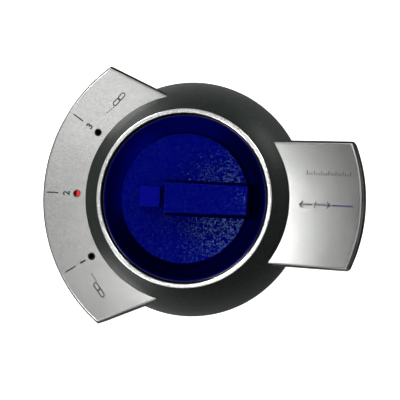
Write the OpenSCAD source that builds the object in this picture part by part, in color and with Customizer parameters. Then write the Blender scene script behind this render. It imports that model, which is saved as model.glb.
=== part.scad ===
// Passive rotary selector for optical audio leads: one common socket and three link sockets.
// Lengths are in millimetres. +X points to the common socket, +Z points up, the feet rest on z = 0.
// The origin is the centre of the circle that both wings end on; the knob axis stands axis_back behind it.

/* [Case] */
// Radius of the circle that both wings end on, at plate level
case_r = 55.9; // [52:0.1:60]
// Distance of the knob axis from the circle's centre
axis_back = 4.6; // [3:0.1:6]
// Wall of the upper housing
wall = 1.8; // [1.4:0.1:2.4]
// Draft of the wing walls, in degrees
wing_draft = -2.5; // [-4:0.5:6]
// Angle of the link wing's side edges to the X axis
fan_angle = 23.8; // [15:0.1:35]
// Distance of the link wing's side edges from the knob axis
fan_reach = 29; // [25:0.1:31]
// Flare of the common wing's side edges, in degrees
tab_flare = 1.3; // [0:0.1:4]
// Distance of the common wing's side edges from the knob axis
tab_reach = 20.6; // [17:0.1:23]
// Thickness of the wing plates
plate_t = 1.5; // [1:0.1:2]
// Step from the wing wall in to the plate's edge
plate_inset = 0.85; // [0.1:0.05:1.2]
// Chamfer along the plates' upper edges
plate_chamfer = 0.35; // [0.1:0.05:0.6]

/* [Base] */
// Height of the feet below the base
foot_h = 1.2; // [0.8:0.1:2.5]
// Radius of each rubber foot
foot_r = 4; // [3:0.1:5]
// Depth of the feet's seats in the base
foot_seat = 0.6; // [0.3:0.1:0.9]
// Thickness of the base pan
base_t = 1.6; // [1.4:0.1:2.4]
// Step from the wing wall in to the base pan's edge
base_inset = 0.3; // [0.1:0.05:0.6]
// Radius of the base screws' shanks
screw_r = 1.25; // [1:0.05:1.5]
// Radius of the base screws' heads
screw_head_r = 2.5; // [2.2:0.1:3]
// Height of the base screws' heads
screw_head_h = 0.9; // [0.6:0.1:1]
// Length of the base screws' shanks
screw_len = 7; // [5:0.5:9]

/* [Bezel] */
// Radius of the bezel's widest edge
bezel_r = 40.3; // [39:0.1:43]
// Height of the bezel's widest edge above the base
bezel_edge_h = 4.2; // [3.5:0.1:5.5]
// Radius of the bezel's foot on the base
bezel_foot_r = 38.7; // [37.5:0.1:40]
// Height of the bezel's top above the plates
bezel_rise = 4.4; // [3.5:0.1:6]
// Bulge of the bezel's curved flank
bezel_bulge = 1.1; // [0.5:0.1:2]
// Outer radius of the trim ring
ring_r = 30.25; // [29.5:0.05:31]
// Width of the trim ring
ring_w = 1.3; // [1:0.05:1.6]
// Height of the trim ring's top above the bezel
ring_rise = 0.7; // [0.3:0.05:1.2]
// Depth of the trim ring's seat below the bezel's top
ring_seat = 1.3; // [0.8:0.1:2]
// Thickness of the deck under the knob
deck_t = 1.4; // [1.2:0.1:2]

/* [Knob] */
// Running gap between the knob and the trim ring
knob_gap = 0.5; // [0.3:0.05:0.8]
// Depth of the knob's rim below the trim ring's top
knob_drop = 1.2; // [0.2:0.05:1.6]
// Radius of the disc inside the knob's finger groove
disc_r = 22; // [20:0.1:24]
// Depth of the disc below the knob's rim
disc_drop = 0.6; // [0.4:0.1:1.6]
// Depth of the finger groove below the disc
groove_drop = 0.5; // [0.4:0.1:1.2]
// Running gap between the knob's skirt and the deck
skirt_gap = 0.55; // [0.3:0.05:0.8]
// Thickness of the knob's shell
knob_t = 1.3; // [1:0.1:1.6]
// Length of the finger bar ahead of the axis, on the pointer side
bar_front = 6.6; // [5.5:0.1:8]
// Length of the finger bar behind the axis
bar_back = 22.9; // [18:0.1:24]
// Width of the finger bar at its top
bar_w = 10; // [9.6:0.1:11]
// Height of the finger bar over the disc at the pointer end
bar_h = 3.2; // [2.8:0.1:4]
// Extra height of the finger bar at its far end
bar_slope = 0.8; // [0:0.1:1.4]
// Draft of the finger bar's sides, in degrees
bar_draft = 15; // [5:1:20]
// Length of the square pointer tile
tile_l = 7.1; // [6:0.1:8]
// Width of the square pointer tile
tile_w = 6.8; // [6:0.1:8]
// Height of the pointer tile over the disc
tile_h = 1.5; // [0.8:0.1:2]
// Groove between the pointer tile and the finger bar
tile_gap = 1.4; // [1:0.1:2]

/* [Selector] */
// Angle between neighbouring link sockets
step_deg = 33.5; // [31:0.5:35]
// Radius of the rotor disc
rotor_r = 33.8; // [32.5:0.1:34.2]
// Thickness of the rotor disc
rotor_t = 2.8; // [2.7:0.1:3]
// Radius of the spindle
spindle_r = 4; // [3.7:0.1:4.2]
// Radial clearance of the spindle in its bush
spindle_fit = 0.05; // [0.02:0.01:0.1]
// Wall of the spindle bush
bush_wall = 2; // [1.5:0.1:3]
// Width of the square light guides
guide_w = 2.2; // [1.8:0.1:2.3]
// Gap between two light guides' facing ends
guide_gap = 0.4; // [0.2:0.05:0.5]
// Distance of the link guide's cross bar from the axis
link_bar_x = 15; // [12:0.5:18]
// Width of the red indicator flag
flag_w = 5; // [4:0.1:6]
// Thickness of the red indicator flag
flag_t = 0.4; // [0.3:0.05:0.45]
// Radius of the indicator sleeves' clear hole
window_r = 1.05; // [0.9:0.05:1.3]
// Wall of the indicator sleeves
window_wall = 0.25; // [0.2:0.05:0.4]
// Thickness of the detent spring's strip
leaf_t = 0.4; // [0.3:0.05:0.5]
// Width of the detent spring's strip
leaf_h = 2; // [1.8:0.1:2.2]
// Depth of the detent notches
notch_d = 1; // [0.7:0.1:1.2]
// Radius of the detent screw's shank
leaf_screw_r = 0.6; // [0.5:0.05:0.7]

/* [Sockets] */
// Width of a socket housing
jack_w = 9.7; // [9.5:0.1:10]
// Height of a socket housing
jack_h = 10; // [10:0.1:11]
// Depth of a socket housing
jack_d = 9.8; // [9.8:0.1:10]
// Side wall of a socket housing
jack_side = 0.75; // [0.7:0.05:0.85]
// Depth of the sockets' faces behind the outer circle
face_in = 1.75; // [0.7:0.05:2]
// Front wall of a socket
jack_front = 0.8; // [0.7:0.05:0.9]
// Height of a socket's sill
jack_sill = 1.5; // [1.3:0.1:1.6]
// Roof of a socket
jack_roof = 0.5; // [0.4:0.05:0.6]
// Radius of the plug ferrule's bore
ferrule_r = 1.3; // [1.2:0.05:1.4]
// Length of the plug ferrule's bore
ferrule_len = 2.5; // [2:0.1:3]
// Outer radius of the socket's rear tube
tube_r = 2.5; // [2.2:0.1:2.6]
// Radius of the shutter pins
pin_r = 0.4; // [0.35:0.01:0.45]
// Radial clearance of the shutters on their pins
pin_fit = 0.05; // [0.02:0.01:0.08]
// Radius of the shutters' barrels
barrel_r = 0.65; // [0.6:0.01:0.7]
// Thickness of the shutter flaps
flap_t = 0.6; // [0.5:0.05:0.7]
// Radius of the shutter springs' wire
wire_r = 0.1; // [0.08:0.01:0.11]
// Number of coils in a shutter spring
coils = 6; // [4:1:7]

/* [Hidden] */
$fn = 64;
big = 300;
fit = 0.05;
// Heights, from the table up
floor_z = foot_h + base_t;
jack_top = floor_z + jack_h;
plate_under = jack_top + 0.2;
plate_z = plate_under + plate_t;
deck_under = plate_under - 0.25;
deck_top = deck_under + deck_t;
rotor_top = deck_under - flag_t - 0.35;
rotor_under = rotor_top - rotor_t;
bezel_top = plate_z + bezel_rise;
bezel_edge_z = foot_h + base_t + bezel_edge_h;
ring_top = bezel_top + ring_rise;
rim_z = ring_top - knob_drop;
disc_z = rim_z - disc_drop;
groove_z = disc_z - groove_drop;
knob_under = deck_top + skirt_gap;
// Shutter hinge, from the socket's face and bottom
coil_r = flap_t + 2 * wire_r - wire_r + 0.02;
hinge_in = jack_front + coil_r + wire_r + 0.08;
hinge_h = jack_h - jack_roof - coil_r - wire_r - 0.03;
mouth_top = hinge_h - barrel_r - fit;
mouth_h = mouth_top - jack_sill;
flap_w = jack_w - 2 * jack_side - 0.3;
flap_low = jack_sill - 0.2;
jack_floor = jack_sill - 0.6;
jack_back = 0.5;
coil_len = coils * 2 * wire_r;
// Centre and radius of the bezel flank's arc for an outer edge at radius r
function flank_arc(r) =
    let (p = [ring_r + 0.15, bezel_top], q = [r, bezel_edge_z], d = q - p, c = norm(d), v = [-d[1], d[0]] / c,
        a = c * c / (8 * bezel_bulge) + bezel_bulge / 2)
    concat((p + q) / 2 + v * (bezel_bulge - a), a);
// Radius of the flank at height z, drawn in by a wall
function flank_at(r, z, in = 0) =
    let (m = flank_arc(r)) m[0] + sqrt(pow(m[2] - in, 2) - pow(z - m[1], 2));
// The bezel keeps clear of the rotor's upper edge
rotor_clear = 0.3;
rotor_lack = max(0, rotor_r + rotor_clear - flank_at(bezel_r, rotor_top, wall));
bezel_grow = 1.1 * rotor_lack * (bezel_top - bezel_edge_z) / (bezel_top - rotor_top);
bezel_out = bezel_r + bezel_grow;
bezel_foot = bezel_foot_r + bezel_grow;
// Windows stand outside the flank, with a web between
window_web = 0.4;
window_min = flank_at(bezel_out, plate_under) + fit + window_r + window_wall + window_web;
flag_lap = 0.75;
flag_clear = 0.35;
flag_root = 12;
stub_min = 2.1;
// Optical axis and radii about the knob axis
optic_z = floor_z + jack_sill + mouth_h / 2;
port_r = rotor_r + 0.2 + guide_gap;
// The link sockets' backs clear the windows, the flag and the fibre stubs; the axis gives them the room
jack_rear = max(case_r - axis_back - face_in - jack_d, window_min + flag_lap + flag_clear,
    port_r + ferrule_len + stub_min - jack_back);
axis_at = case_r - face_in - jack_d - jack_rear;
face_link = jack_rear + jack_d;
face_common = case_r + axis_at - face_in;
tube_len = jack_rear - port_r;
stub_r = ferrule_r - 0.2;
stub_len = tube_len + jack_back - ferrule_len;
tip_r = port_r - guide_gap;
flag_r = jack_rear - flag_clear;
window_at = flag_r - flag_lap;
knob_r = ring_r - ring_w - knob_gap;
well_r = ring_r - ring_w;
gh = guide_w / 2;
drop_r = tip_r - 0.9 - guide_w;
guide_top = optic_z + gh;
guide_low = optic_z - gh;
bar_top = rotor_top - 0.4;
bar_low = bar_top - guide_w;
link_angles = [180 + step_deg, 180, 180 - step_deg];
post_root = floor_z - base_t / 4;
post_x = rotor_r + 4.4;
post_t = 4;
post_y = 12;
leaf_pad = 3;
leaf_dip = 2.4;
leaf_z = rotor_under + 0.4;
// Screw bosses: two in the link wing's outer corners, two beside the common socket past the detent post
boss_r = screw_r + 1.5;
boss_in = 4.25;
boss_back = 7.25;
fan_n = [sin(fan_angle), cos(fan_angle)];
fan_t = [-cos(fan_angle), sin(fan_angle)];
fan_end = sqrt(pow(case_r, 2) - pow(fan_reach - axis_at * fan_n[0], 2)) + axis_at * fan_t[0];
fan_boss = fan_n * (fan_reach - boss_in) + fan_t * (fan_end - boss_back) - [axis_at, 0];
screw_x = post_x + post_t + 3.4 - axis_at;
screw_y = tab_reach - 4;
screw_spots = [fan_boss, [fan_boss[0], -fan_boss[1]], [screw_x, screw_y], [screw_x, -screw_y]];
foot_x = case_r - foot_r - 3.5;
foot_y = screw_y - screw_head_r - foot_r - 0.4;
foot_spots = [[19 - case_r, 0.6 * case_r], [19 - case_r, -0.6 * case_r], [foot_x, foot_y], [foot_x, -foot_y]];
stop_r = 29.5;
stop_at = 60;
stop_half = 3;
// Height from the spindle bush's flange up to the knob's hub
flange_t = 0.5;
washer_t = 0.3;
clip_t = 0.4;
flange_top = deck_top + flange_t;
clip_z = flange_top + washer_t + fit;
hub_z = clip_z + clip_t + 0.15;
neck_r = spindle_r - 0.8;
spindle_top = disc_z + bar_h - 1.6;
leaf_clip_t = 0.3;

// Points on an arc from p to q that bulges by s to the left of the way p to q
function arc(p, q, s, n, in = 0) =
    let (d = q - p, c = norm(d), u = d / c, v = [-u[1], u[0]], r = c * c / (8 * s) + s / 2,
        m = (p + q) / 2 + v * (s - r), h = asin(c / (2 * r)))
    [for (i = [0:n]) let (a = h * (1 - 2 * i / n)) m + (r - in) * (v * cos(a) - u * sin(a))];

// The bezel's flank, from its top edge down to its widest edge
flank_top = [ring_r + 0.15, bezel_top];
flank_end = [bezel_out, bezel_edge_z];
function flank(in) = arc(flank_top, flank_end, bezel_bulge, 12, in);
pocket_r = well_r + wall;
inner_flank = [for (p = flank(wall)) if (p[0] > pocket_r + 0.2) p];

// Places a child on the knob axis, turned to an angle
module at_axis(a = 0) {
    translate([-axis_at, 0, 0]) rotate([0, 0, a]) children();
}

// Places a child in a socket's own frame: x out of the mouth, origin at the face's foot
module at_link(i) {
    at_axis(link_angles[i]) translate([face_link, 0, floor_z]) children();
}

module at_common() {
    at_axis(0) translate([face_common, 0, floor_z]) children();
}

// All that lies inside a drafted side face whose normal points to angle a
module side(a, reach) {
    at_axis(a) translate([reach, 0, plate_z]) rotate([0, -wing_draft, 0])
        translate([-big, -big / 2, -big / 2]) cube(big);
}

// The drafted round end of the wings between two heights
module case_cone(inset, z0, z1) {
    fall = tan(wing_draft);
    translate([0, 0, z0])
        cylinder(h = z1 - z0, r1 = case_r - inset + (plate_z - z0) * fall,
            r2 = case_r - inset + (plate_z - z1) * fall, $fn = 128);
}

module link_wing(inset, z0, z1) {
    intersection() {
        case_cone(inset, z0, z1);
        side(90 - fan_angle, fan_reach - inset);
        side(fan_angle - 90, fan_reach - inset);
        translate([-big - axis_at, -big / 2, z0]) cube([big, big, z1 - z0]);
    }
}

module common_wing(inset, z0, z1) {
    intersection() {
        case_cone(inset, z0, z1);
        side(90 + tab_flare, tab_reach - inset);
        side(-90 - tab_flare, tab_reach - inset);
        translate([-axis_at, -big / 2, z0]) cube([big, big, z1 - z0]);
    }
}

// The space under the bezel and the deck
module bezel_inside() {
    at_axis() rotate_extrude($fn = 128)
        polygon(concat([[0, floor_z - 1], [bezel_foot - wall, floor_z - 1],
            [bezel_foot - wall, floor_z], [bezel_out - wall, bezel_edge_z - 0.6]],
            [for (i = [len(inner_flank) - 1:-1:0]) inner_flank[i]],
            [[pocket_r, inner_flank[0][1]], [pocket_r, deck_under], [0, deck_under]]));
}

// The bezel as a filled body, grown by a clearance
module bezel_body(grow = 0) {
    at_axis() rotate_extrude($fn = 128)
        polygon(concat([[0, floor_z]], [[0, bezel_top]], flank(-grow),
            [[bezel_out + grow, bezel_edge_z - 0.6], [bezel_foot, floor_z]]));
}

// The well that the knob turns in, with the trim ring's seat
module knob_well() {
    at_axis() rotate_extrude($fn = 128)
        polygon([[0, deck_top], [well_r, deck_top], [well_r, bezel_top - ring_seat],
            [ring_r + fit, bezel_top - ring_seat], [ring_r + fit, bezel_top + 1], [0, bezel_top + 1]]);
}

// The wings' inner space where it runs on under the bezel's flank
module wing_passages() {
    difference() {
        union() {
            link_wing(wall + fit, floor_z - 1, deck_under);
            common_wing(wall + fit, floor_z - 1, deck_under);
        }
        at_axis() cylinder(h = big, r = pocket_r + 0.5, center = true);
    }
}

// A socket's housing block with its rear clearance, and the opening in front of its mouth
module jack_pocket() {
    translate([-jack_d, -jack_w / 2 - fit, -1]) cube([jack_d + fit, jack_w + 2 * fit, jack_h + 2]);
    translate([-1, -jack_w / 2 + jack_side - 0.2, jack_sill - 0.2])
        cube([8, jack_w - 2 * jack_side + 0.4, mouth_h + 0.4]);
}

module upper_housing() {
    color([0.16, 0.17, 0.16]) difference() {
        union() {
            difference() {
                bezel_body();
                wing_passages();
            }
            difference() {
                union() {
                    link_wing(0, floor_z, plate_under);
                    common_wing(0, floor_z, plate_under);
                }
                link_wing(wall, floor_z - 1, plate_under + 1);
                common_wing(wall, floor_z - 1, plate_under + 1);
            }
            for (p = screw_spots) translate([p[0], p[1], floor_z])
                cylinder(h = plate_under - floor_z, r = boss_r, $fn = 32);
        }
        bezel_inside();
        knob_well();
        at_axis() cylinder(h = big, r = spindle_r + bush_wall + fit, center = true);
        for (i = [0:2]) at_link(i) jack_pocket();
        at_common() jack_pocket();
        for (p = screw_spots) translate([p[0], p[1], floor_z - 1])
            cylinder(h = screw_len + 1.5, r = screw_r, $fn = 32);
    }
}

module base_outline(z0, z1) {
    at_axis() translate([0, 0, z0]) cylinder(h = z1 - z0, r = bezel_foot - base_inset, $fn = 128);
    link_wing(base_inset, z0, z1);
    common_wing(base_inset, z0, z1);
}

// Two cheeks that carry the common light guide
module guide_saddle(x) {
    at_axis() translate([x, 0, 0]) difference() {
        translate([-1.5, -gh - 1.2, post_root]) cube([3, guide_w + 2.4, guide_top - post_root]);
        translate([-2, -gh - fit, guide_low]) cube([4, guide_w + 2 * fit, big]);
    }
}

// A stop post that the rotor's lug meets at one end of its turn
module stop_post(a) {
    at_axis(a) translate([stop_r - 1.5, -1.2, post_root]) cube([3, 2.4, rotor_under - 0.4 - post_root]);
}

stop_clear = asin(1.2 / stop_r) + stop_half + 0.4;

module base_pan() {
    color([0.1, 0.1, 0.11]) difference() {
        union() {
            base_outline(foot_h, floor_z);
            guide_saddle(12);
            guide_saddle(rotor_r - 3.5);
            stop_post(stop_at + step_deg + stop_clear);
            stop_post(stop_at - step_deg - stop_clear);
            at_axis() translate([post_x, post_y - leaf_pad, post_root])
                cube([post_t, 2 * leaf_pad, leaf_z + leaf_h - post_root]);
        }
        for (p = foot_spots) translate([p[0], p[1], foot_h - 1])
            cylinder(h = foot_seat + 1, r = foot_r + fit, $fn = 48);
        for (p = screw_spots) translate([p[0], p[1], 0]) {
            cylinder(h = big, r = screw_r + 0.2, $fn = 32);
            cylinder(h = foot_h + screw_head_h, r = screw_head_r + 0.2, $fn = 32);
        }
        at_axis() translate([post_x - 1, post_y, leaf_z + leaf_h / 2]) rotate([0, 90, 0])
            cylinder(h = 4, r = leaf_screw_r + 0.02, $fn = 24);
    }
}

module rubber_feet() {
    color([0.05, 0.05, 0.05]) for (p = foot_spots) translate([p[0], p[1], 0])
        rotate_extrude($fn = 48)
            polygon([[0, 0], [foot_r - 0.5, 0], [foot_r, 0.5], [foot_r, foot_h + foot_seat],
                [0, foot_h + foot_seat]]);
}

// A cross-recessed screw, head down at z = 0
module screw(head_r, head_h, shank_r, len) {
    difference() {
        union() {
            cylinder(h = head_h, r = head_r, $fn = 32);
            cylinder(h = head_h + len, r = shank_r, $fn = 32);
        }
        for (a = [0, 90]) rotate([0, 0, a]) translate([-head_r * 0.6, -head_r * 0.12, -1])
            cube([head_r * 1.2, head_r * 0.24, 1 + head_h * 0.6]);
    }
}

module base_screws() {
    color([0.55, 0.55, 0.56]) for (p = screw_spots) translate([p[0], p[1], foot_h])
        screw(screw_head_r, screw_head_h, screw_r - 0.02, screw_len);
}

module trim_ring() {
    z = bezel_top - ring_seat;
    color([0.85, 0.85, 0.86]) at_axis() rotate_extrude($fn = 128)
        polygon([[well_r, z], [ring_r, z], [ring_r, ring_top - 0.45], [ring_r - 0.4, ring_top],
            [well_r + 0.35, ring_top], [well_r, ring_top - 0.35]]);
}

// A plate with a chamfered upper edge
module link_plate_body() {
    link_wing(plate_inset, plate_under, plate_z - plate_chamfer);
    for (i = [0:2]) link_wing(plate_inset + plate_chamfer * (i + 1) / 3,
        plate_z - plate_chamfer, plate_z - plate_chamfer * (2 - i) / 3);
}

module common_plate_body() {
    common_wing(plate_inset, plate_under, plate_z - plate_chamfer);
    for (i = [0:2]) common_wing(plate_inset + plate_chamfer * (i + 1) / 3,
        plate_z - plate_chamfer, plate_z - plate_chamfer * (2 - i) / 3);
}

module link_wing_plate() {
    color([0.72, 0.73, 0.72]) difference() {
        link_plate_body();
        bezel_body(fit);
        for (a = link_angles) at_axis(a) translate([window_at, 0, 0])
            cylinder(h = big, r = window_r + window_wall + 0.02, $fn = 32);
    }
}

module common_wing_plate() {
    color([0.74, 0.74, 0.73]) difference() {
        common_plate_body();
        bezel_body(fit);
    }
}

module indicator_sleeves() {
    color([0.03, 0.03, 0.03]) for (a = link_angles) at_axis(a)
        translate([window_at, 0, plate_under - 0.1]) difference() {
            cylinder(h = plate_t + 0.05, r = window_r + window_wall, $fn = 32);
            translate([0, 0, -1]) cylinder(h = big, r = window_r, $fn = 32);
        }
}

module spindle_bush() {
    color([0.9, 0.88, 0.8]) at_axis() difference() {
        union() {
            translate([0, 0, deck_under]) cylinder(h = flange_top - deck_under, r = spindle_r + bush_wall);
            translate([0, 0, deck_top]) cylinder(h = flange_t, r = spindle_r + bush_wall + 2);
        }
        cylinder(h = big, r = spindle_r + spindle_fit);
    }
}

// The leaf's run in plan, from its screwed end to its nosed tip, about the knob axis
nose_x = rotor_r - notch_d + 0.25;
leaf_run = [[post_x - leaf_t, post_y + leaf_pad], [post_x - leaf_t, post_y - leaf_pad],
    [rotor_r + 1.2, leaf_dip], [nose_x, leaf_dip / 6], [nose_x, -leaf_dip / 6], [rotor_r + 1.2, -leaf_dip],
    [rotor_r + 2.2, -1.875 * leaf_dip]];

module detent_spring() {
    n = len(leaf_run) - 1;
    color([0.7, 0.7, 0.68]) at_axis() translate([0, 0, leaf_z]) difference() {
        linear_extrude(leaf_h) polygon(concat(leaf_run,
            [for (i = [n:-1:0]) leaf_run[i] + [leaf_t, 0]]));
        translate([post_x - 3, post_y, leaf_h / 2]) rotate([0, 90, 0])
            cylinder(h = 4, r = leaf_screw_r + 0.08, $fn = 24);
    }
}

module detent_screw() {
    color([0.6, 0.6, 0.6]) at_axis() translate([post_x - leaf_t - 0.7, post_y, leaf_z + leaf_h / 2])
        rotate([0, 90, 0]) screw(2.2 * leaf_screw_r, 0.7, leaf_screw_r, leaf_t + 2.6);
}

// A square light guide cut from a side outline, x outward and y up
module guide(outline) {
    rotate([90, 0, 0]) translate([0, 0, -gh]) linear_extrude(guide_w) polygon(outline);
}

module common_light_guide() {
    end = face_common - jack_d - tube_len - guide_gap;
    color([0.8, 0.85, 0.88, 0.7]) at_axis()
        guide([[gh, guide_low], [end, guide_low], [end, guide_top], [-gh, guide_top]]);
}

module selector_light_guide() {
    low = guide_top + 0.25;
    color([0.8, 0.86, 0.9, 0.7]) at_axis(180)
        guide([[-gh, low], [gh, low], [gh, bar_low], [drop_r, bar_low], [drop_r, guide_top],
            [drop_r + guide_w, guide_low], [tip_r, guide_low], [tip_r, guide_top],
            [drop_r + guide_w, guide_top], [drop_r + guide_w, bar_low], [drop_r, bar_top],
            [gh, bar_top], [-gh, bar_low]]);
}

// The link guide in plan: two arms at step_deg each side, joined by a cross bar with mirror facets
link_arm = [cos(step_deg), sin(step_deg)];
link_out = [-sin(step_deg), cos(step_deg)];
link_knee = [link_bar_x, link_bar_x * tan(step_deg)];
link_bend = 45 + step_deg / 2;
link_facet = gh * tan(link_bend);
link_half = [link_arm * tip_r - link_out * gh,
    link_knee + gh / sin(link_bend) * [cos(link_bend - step_deg), -sin(link_bend - step_deg)],
    link_knee + [-gh, -link_facet],
    link_knee + link_arm * link_facet + link_out * gh,
    link_arm * tip_r + link_out * gh];
function flip(p) = [p[0], -p[1]];

module link_light_guide() {
    h = link_half;
    color([0.8, 0.86, 0.9, 0.7]) at_axis(180) translate([0, 0, guide_low]) linear_extrude(guide_w)
        polygon([h[0], h[1], flip(h[1]), flip(h[0]), flip(h[4]), flip(h[3]), flip(h[2]), h[2], h[3], h[4]]);
}

module indicator_flag() {
    color([0.8, 0.05, 0.05]) at_axis(180) {
        translate([rotor_r - flag_root, -flag_w / 2, rotor_top])
            cube([flag_r - rotor_r + flag_root, flag_w, flag_t]);
    }
}

// Pads and cheeks that hold the link guide's arms under the rotor
module link_cradle(a, r) {
    rotate([0, 0, a]) translate([r, 0, 0]) difference() {
        translate([-1.5, -gh - 1.1, optic_z]) cube([3, guide_w + 2.2, rotor_under - optic_z + 0.1]);
        translate([-2, -gh - fit, guide_low]) cube([4, guide_w + 2 * fit, guide_w]);
    }
}

module rotor() {
    color([0.2, 0.2, 0.21]) at_axis() difference() {
        union() {
            translate([0, 0, rotor_under]) cylinder(h = rotor_t, r = rotor_r, $fn = 128);
            translate([0, 0, rotor_under]) cylinder(h = hub_z - rotor_under, r = spindle_r);
            translate([0, 0, rotor_under]) cylinder(h = spindle_top - rotor_under, r = neck_r);
            for (s = [1, -1]) {
                link_cradle(180 + s * step_deg, rotor_r - 3);
                link_cradle(180 + s * step_deg, rotor_r - 10);
            }
            rotate([0, 0, stop_at]) translate([stop_r - 1, -stop_r * sin(stop_half), optic_z])
                cube([2, 2 * stop_r * sin(stop_half), rotor_under - optic_z + 0.1]);
        }
        // Slot for the selector guide, open below
        rotate([0, 0, 180]) translate([-gh - fit, -gh - fit, 0]) cube([rotor_r + 5, guide_w + 2 * fit, bar_top]);
        // Groove for the retaining ring and the flat for the knob
        translate([0, 0, clip_z]) difference() {
            cylinder(h = clip_t, r = spindle_r + 1);
            translate([0, 0, -1]) cylinder(h = big, r = neck_r);
        }
        translate([neck_r - 0.8, -big / 2, hub_z]) cube([big, big, big]);
        for (a = [0, step_deg, -step_deg]) rotate([0, 0, a])
            translate([rotor_r - notch_d, 0, rotor_under - 1]) linear_extrude(rotor_t + 2)
                polygon([[0, -0.6], [0, 0.6], [notch_d + 0.5, 2.6], [notch_d + 0.5, -2.6]]);
    }
}

module retaining_ring() {
    color([0.6, 0.6, 0.62]) at_axis() translate([0, 0, clip_z + 0.02]) difference() {
        cylinder(h = clip_t - 0.04, r = spindle_r + 1.6);
        translate([0, 0, -1]) cylinder(h = 3, r = neck_r + 0.03);
        rotate([0, 0, 90]) translate([0, -neck_r * 0.85, -1]) cube([big, neck_r * 1.7, 3]);
    }
}

module thrust_washer() {
    color([0.75, 0.75, 0.75]) at_axis() translate([0, 0, flange_top]) difference() {
        cylinder(h = washer_t, r = spindle_r + 1.9);
        translate([0, 0, -1]) cylinder(h = 3, r = spindle_r + 0.15);
    }
}

// The finger bar, or its inner space when drawn in by a wall
module bar_body(in = 0, low = 0.3) {
    top = disc_z + bar_h - in;
    difference() {
        rotate([90, 0, 0]) translate([0, 0, -bar_w]) linear_extrude(2 * bar_w)
            polygon([[in - bar_front, disc_z - low], [in - bar_front + 0.5, top],
                [bar_back - 0.6 - in, top + bar_slope], [bar_back - in, disc_z - low]]);
        for (s = [1, -1]) translate([0, s * (bar_w / 2 - in), disc_z + bar_h + bar_slope])
            rotate([s * bar_draft, 0, 0]) translate([-big / 2, s > 0 ? 0 : -big, -big / 2]) cube(big);
    }
}

module knob() {
    lip = knob_r - 0.5;
    color([0.02, 0.04, 0.42]) at_axis() difference() {
        union() {
            rotate_extrude($fn = 128)
                polygon(concat([[0, knob_under], [disc_r + 2.6, knob_under], [knob_r, knob_under + 0.4],
                    [knob_r, rim_z - 0.5], [knob_r - 0.15, rim_z - 0.15], [lip, rim_z]],
                    arc([knob_r - 1, rim_z - 0.05], [disc_r + 0.2, groove_z], -0.25, 10),
                    [[disc_r, groove_z + 0.3 * groove_drop], [disc_r, disc_z - 0.4 * groove_drop],
                    [disc_r - 0.25, disc_z], [0, disc_z]]));
            bar_body();
            translate([-bar_front - tile_gap - tile_l, -tile_w / 2, disc_z - 0.5])
                cube([tile_l, tile_w, tile_h + 0.5]);
        }
        // Hollow under the disc, with the hub left standing
        difference() {
            translate([0, 0, knob_under - 1]) cylinder(h = disc_z - knob_t - knob_under + 1, r = disc_r - 1);
            translate([0, 0, hub_z]) cylinder(h = big, r = neck_r + 2);
        }
        difference() {
            bar_body(knob_t, knob_t + 0.1);
            translate([0, 0, hub_z]) cylinder(h = big, r = neck_r + 1.5);
            difference() {
                cylinder(h = big, r = big);
                cylinder(h = big, r = disc_r - 1, center = true);
            }
        }
        // Bore and flat for the spindle's neck, with room for the clip
        translate([0, 0, hub_z - 1]) intersection() {
            cylinder(h = spindle_top - hub_z + 1.3, r = neck_r + fit);
            translate([-big, -big / 2, -1]) cube([big + neck_r - 0.8 + leaf_clip_t + 0.1, big, big]);
        }
    }
}

module knob_clip() {
    color([0.7, 0.7, 0.66]) at_axis()
        translate([neck_r - 0.8 + 0.05, -1.4, hub_z + 0.4])
            cube([leaf_clip_t, 2.8, spindle_top - hub_z - 0.8]);
}

// Sockets, each drawn in its own frame
module jack() {
    color([0.09, 0.09, 0.1]) difference() {
        union() {
            translate([-jack_d, -jack_w / 2, 0]) cube([jack_d, jack_w, jack_h]);
            translate([-jack_d - tube_len, 0, optic_z - floor_z]) rotate([0, 90, 0])
                cylinder(h = tube_len + 1, r = tube_r, $fn = 48);
        }
        translate([-jack_d + jack_back, -jack_w / 2 + jack_side, jack_sill])
            cube([jack_d - jack_back - jack_front, jack_w - 2 * jack_side, jack_h - jack_roof - jack_sill]);
        translate([-jack_d + jack_back, -jack_w / 2 + jack_side, jack_floor])
            cube([jack_d - jack_back - hinge_in + fit, jack_w - 2 * jack_side, 1]);
        translate([-1, -jack_w / 2 + jack_side, jack_sill]) cube([2, jack_w - 2 * jack_side, mouth_h]);
        translate([-jack_d + jack_back - ferrule_len, 0, optic_z - floor_z]) rotate([0, 90, 0])
            cylinder(h = ferrule_len + 0.5, r = ferrule_r, $fn = 48);
        translate([-jack_d - tube_len - 1, 0, optic_z - floor_z]) rotate([0, 90, 0])
            cylinder(h = tube_len + 1.2, r = stub_r + 0.03, $fn = 48);
        translate([-hinge_in, 0, hinge_h]) rotate([90, 0, 0])
            cylinder(h = jack_w - 0.5, r = pin_r + 0.02, center = true, $fn = 32);
    }
}

module fibre_stub() {
    color([0.82, 0.87, 0.9, 0.7]) translate([-jack_d - tube_len, 0, optic_z - floor_z]) rotate([0, 90, 0])
        cylinder(h = stub_len - 0.1, r = stub_r, $fn = 48);
}

module shutter() {
    spring_w = coil_len + 3 * wire_r;
    color([0.12, 0.12, 0.13]) translate([-hinge_in, 0, hinge_h]) difference() {
        union() {
            translate([-flap_t, -flap_w / 2, flap_low - hinge_h]) cube([flap_t, flap_w, hinge_h - flap_low]);
            rotate([90, 0, 0]) cylinder(h = flap_w, r = barrel_r, center = true, $fn = 32);
        }
        rotate([90, 0, 0]) cylinder(h = jack_w, r = pin_r + pin_fit, center = true, $fn = 32);
        translate([-2, flap_w / 2 - spring_w, -coil_r - wire_r - 0.1]) cube([4, spring_w + 1, 4]);
    }
}

module shutter_pin() {
    color([0.75, 0.75, 0.76]) translate([-hinge_in, 0, hinge_h]) rotate([90, 0, 0])
        cylinder(h = jack_w - 0.6, r = pin_r, center = true, $fn = 32);
}

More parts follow.
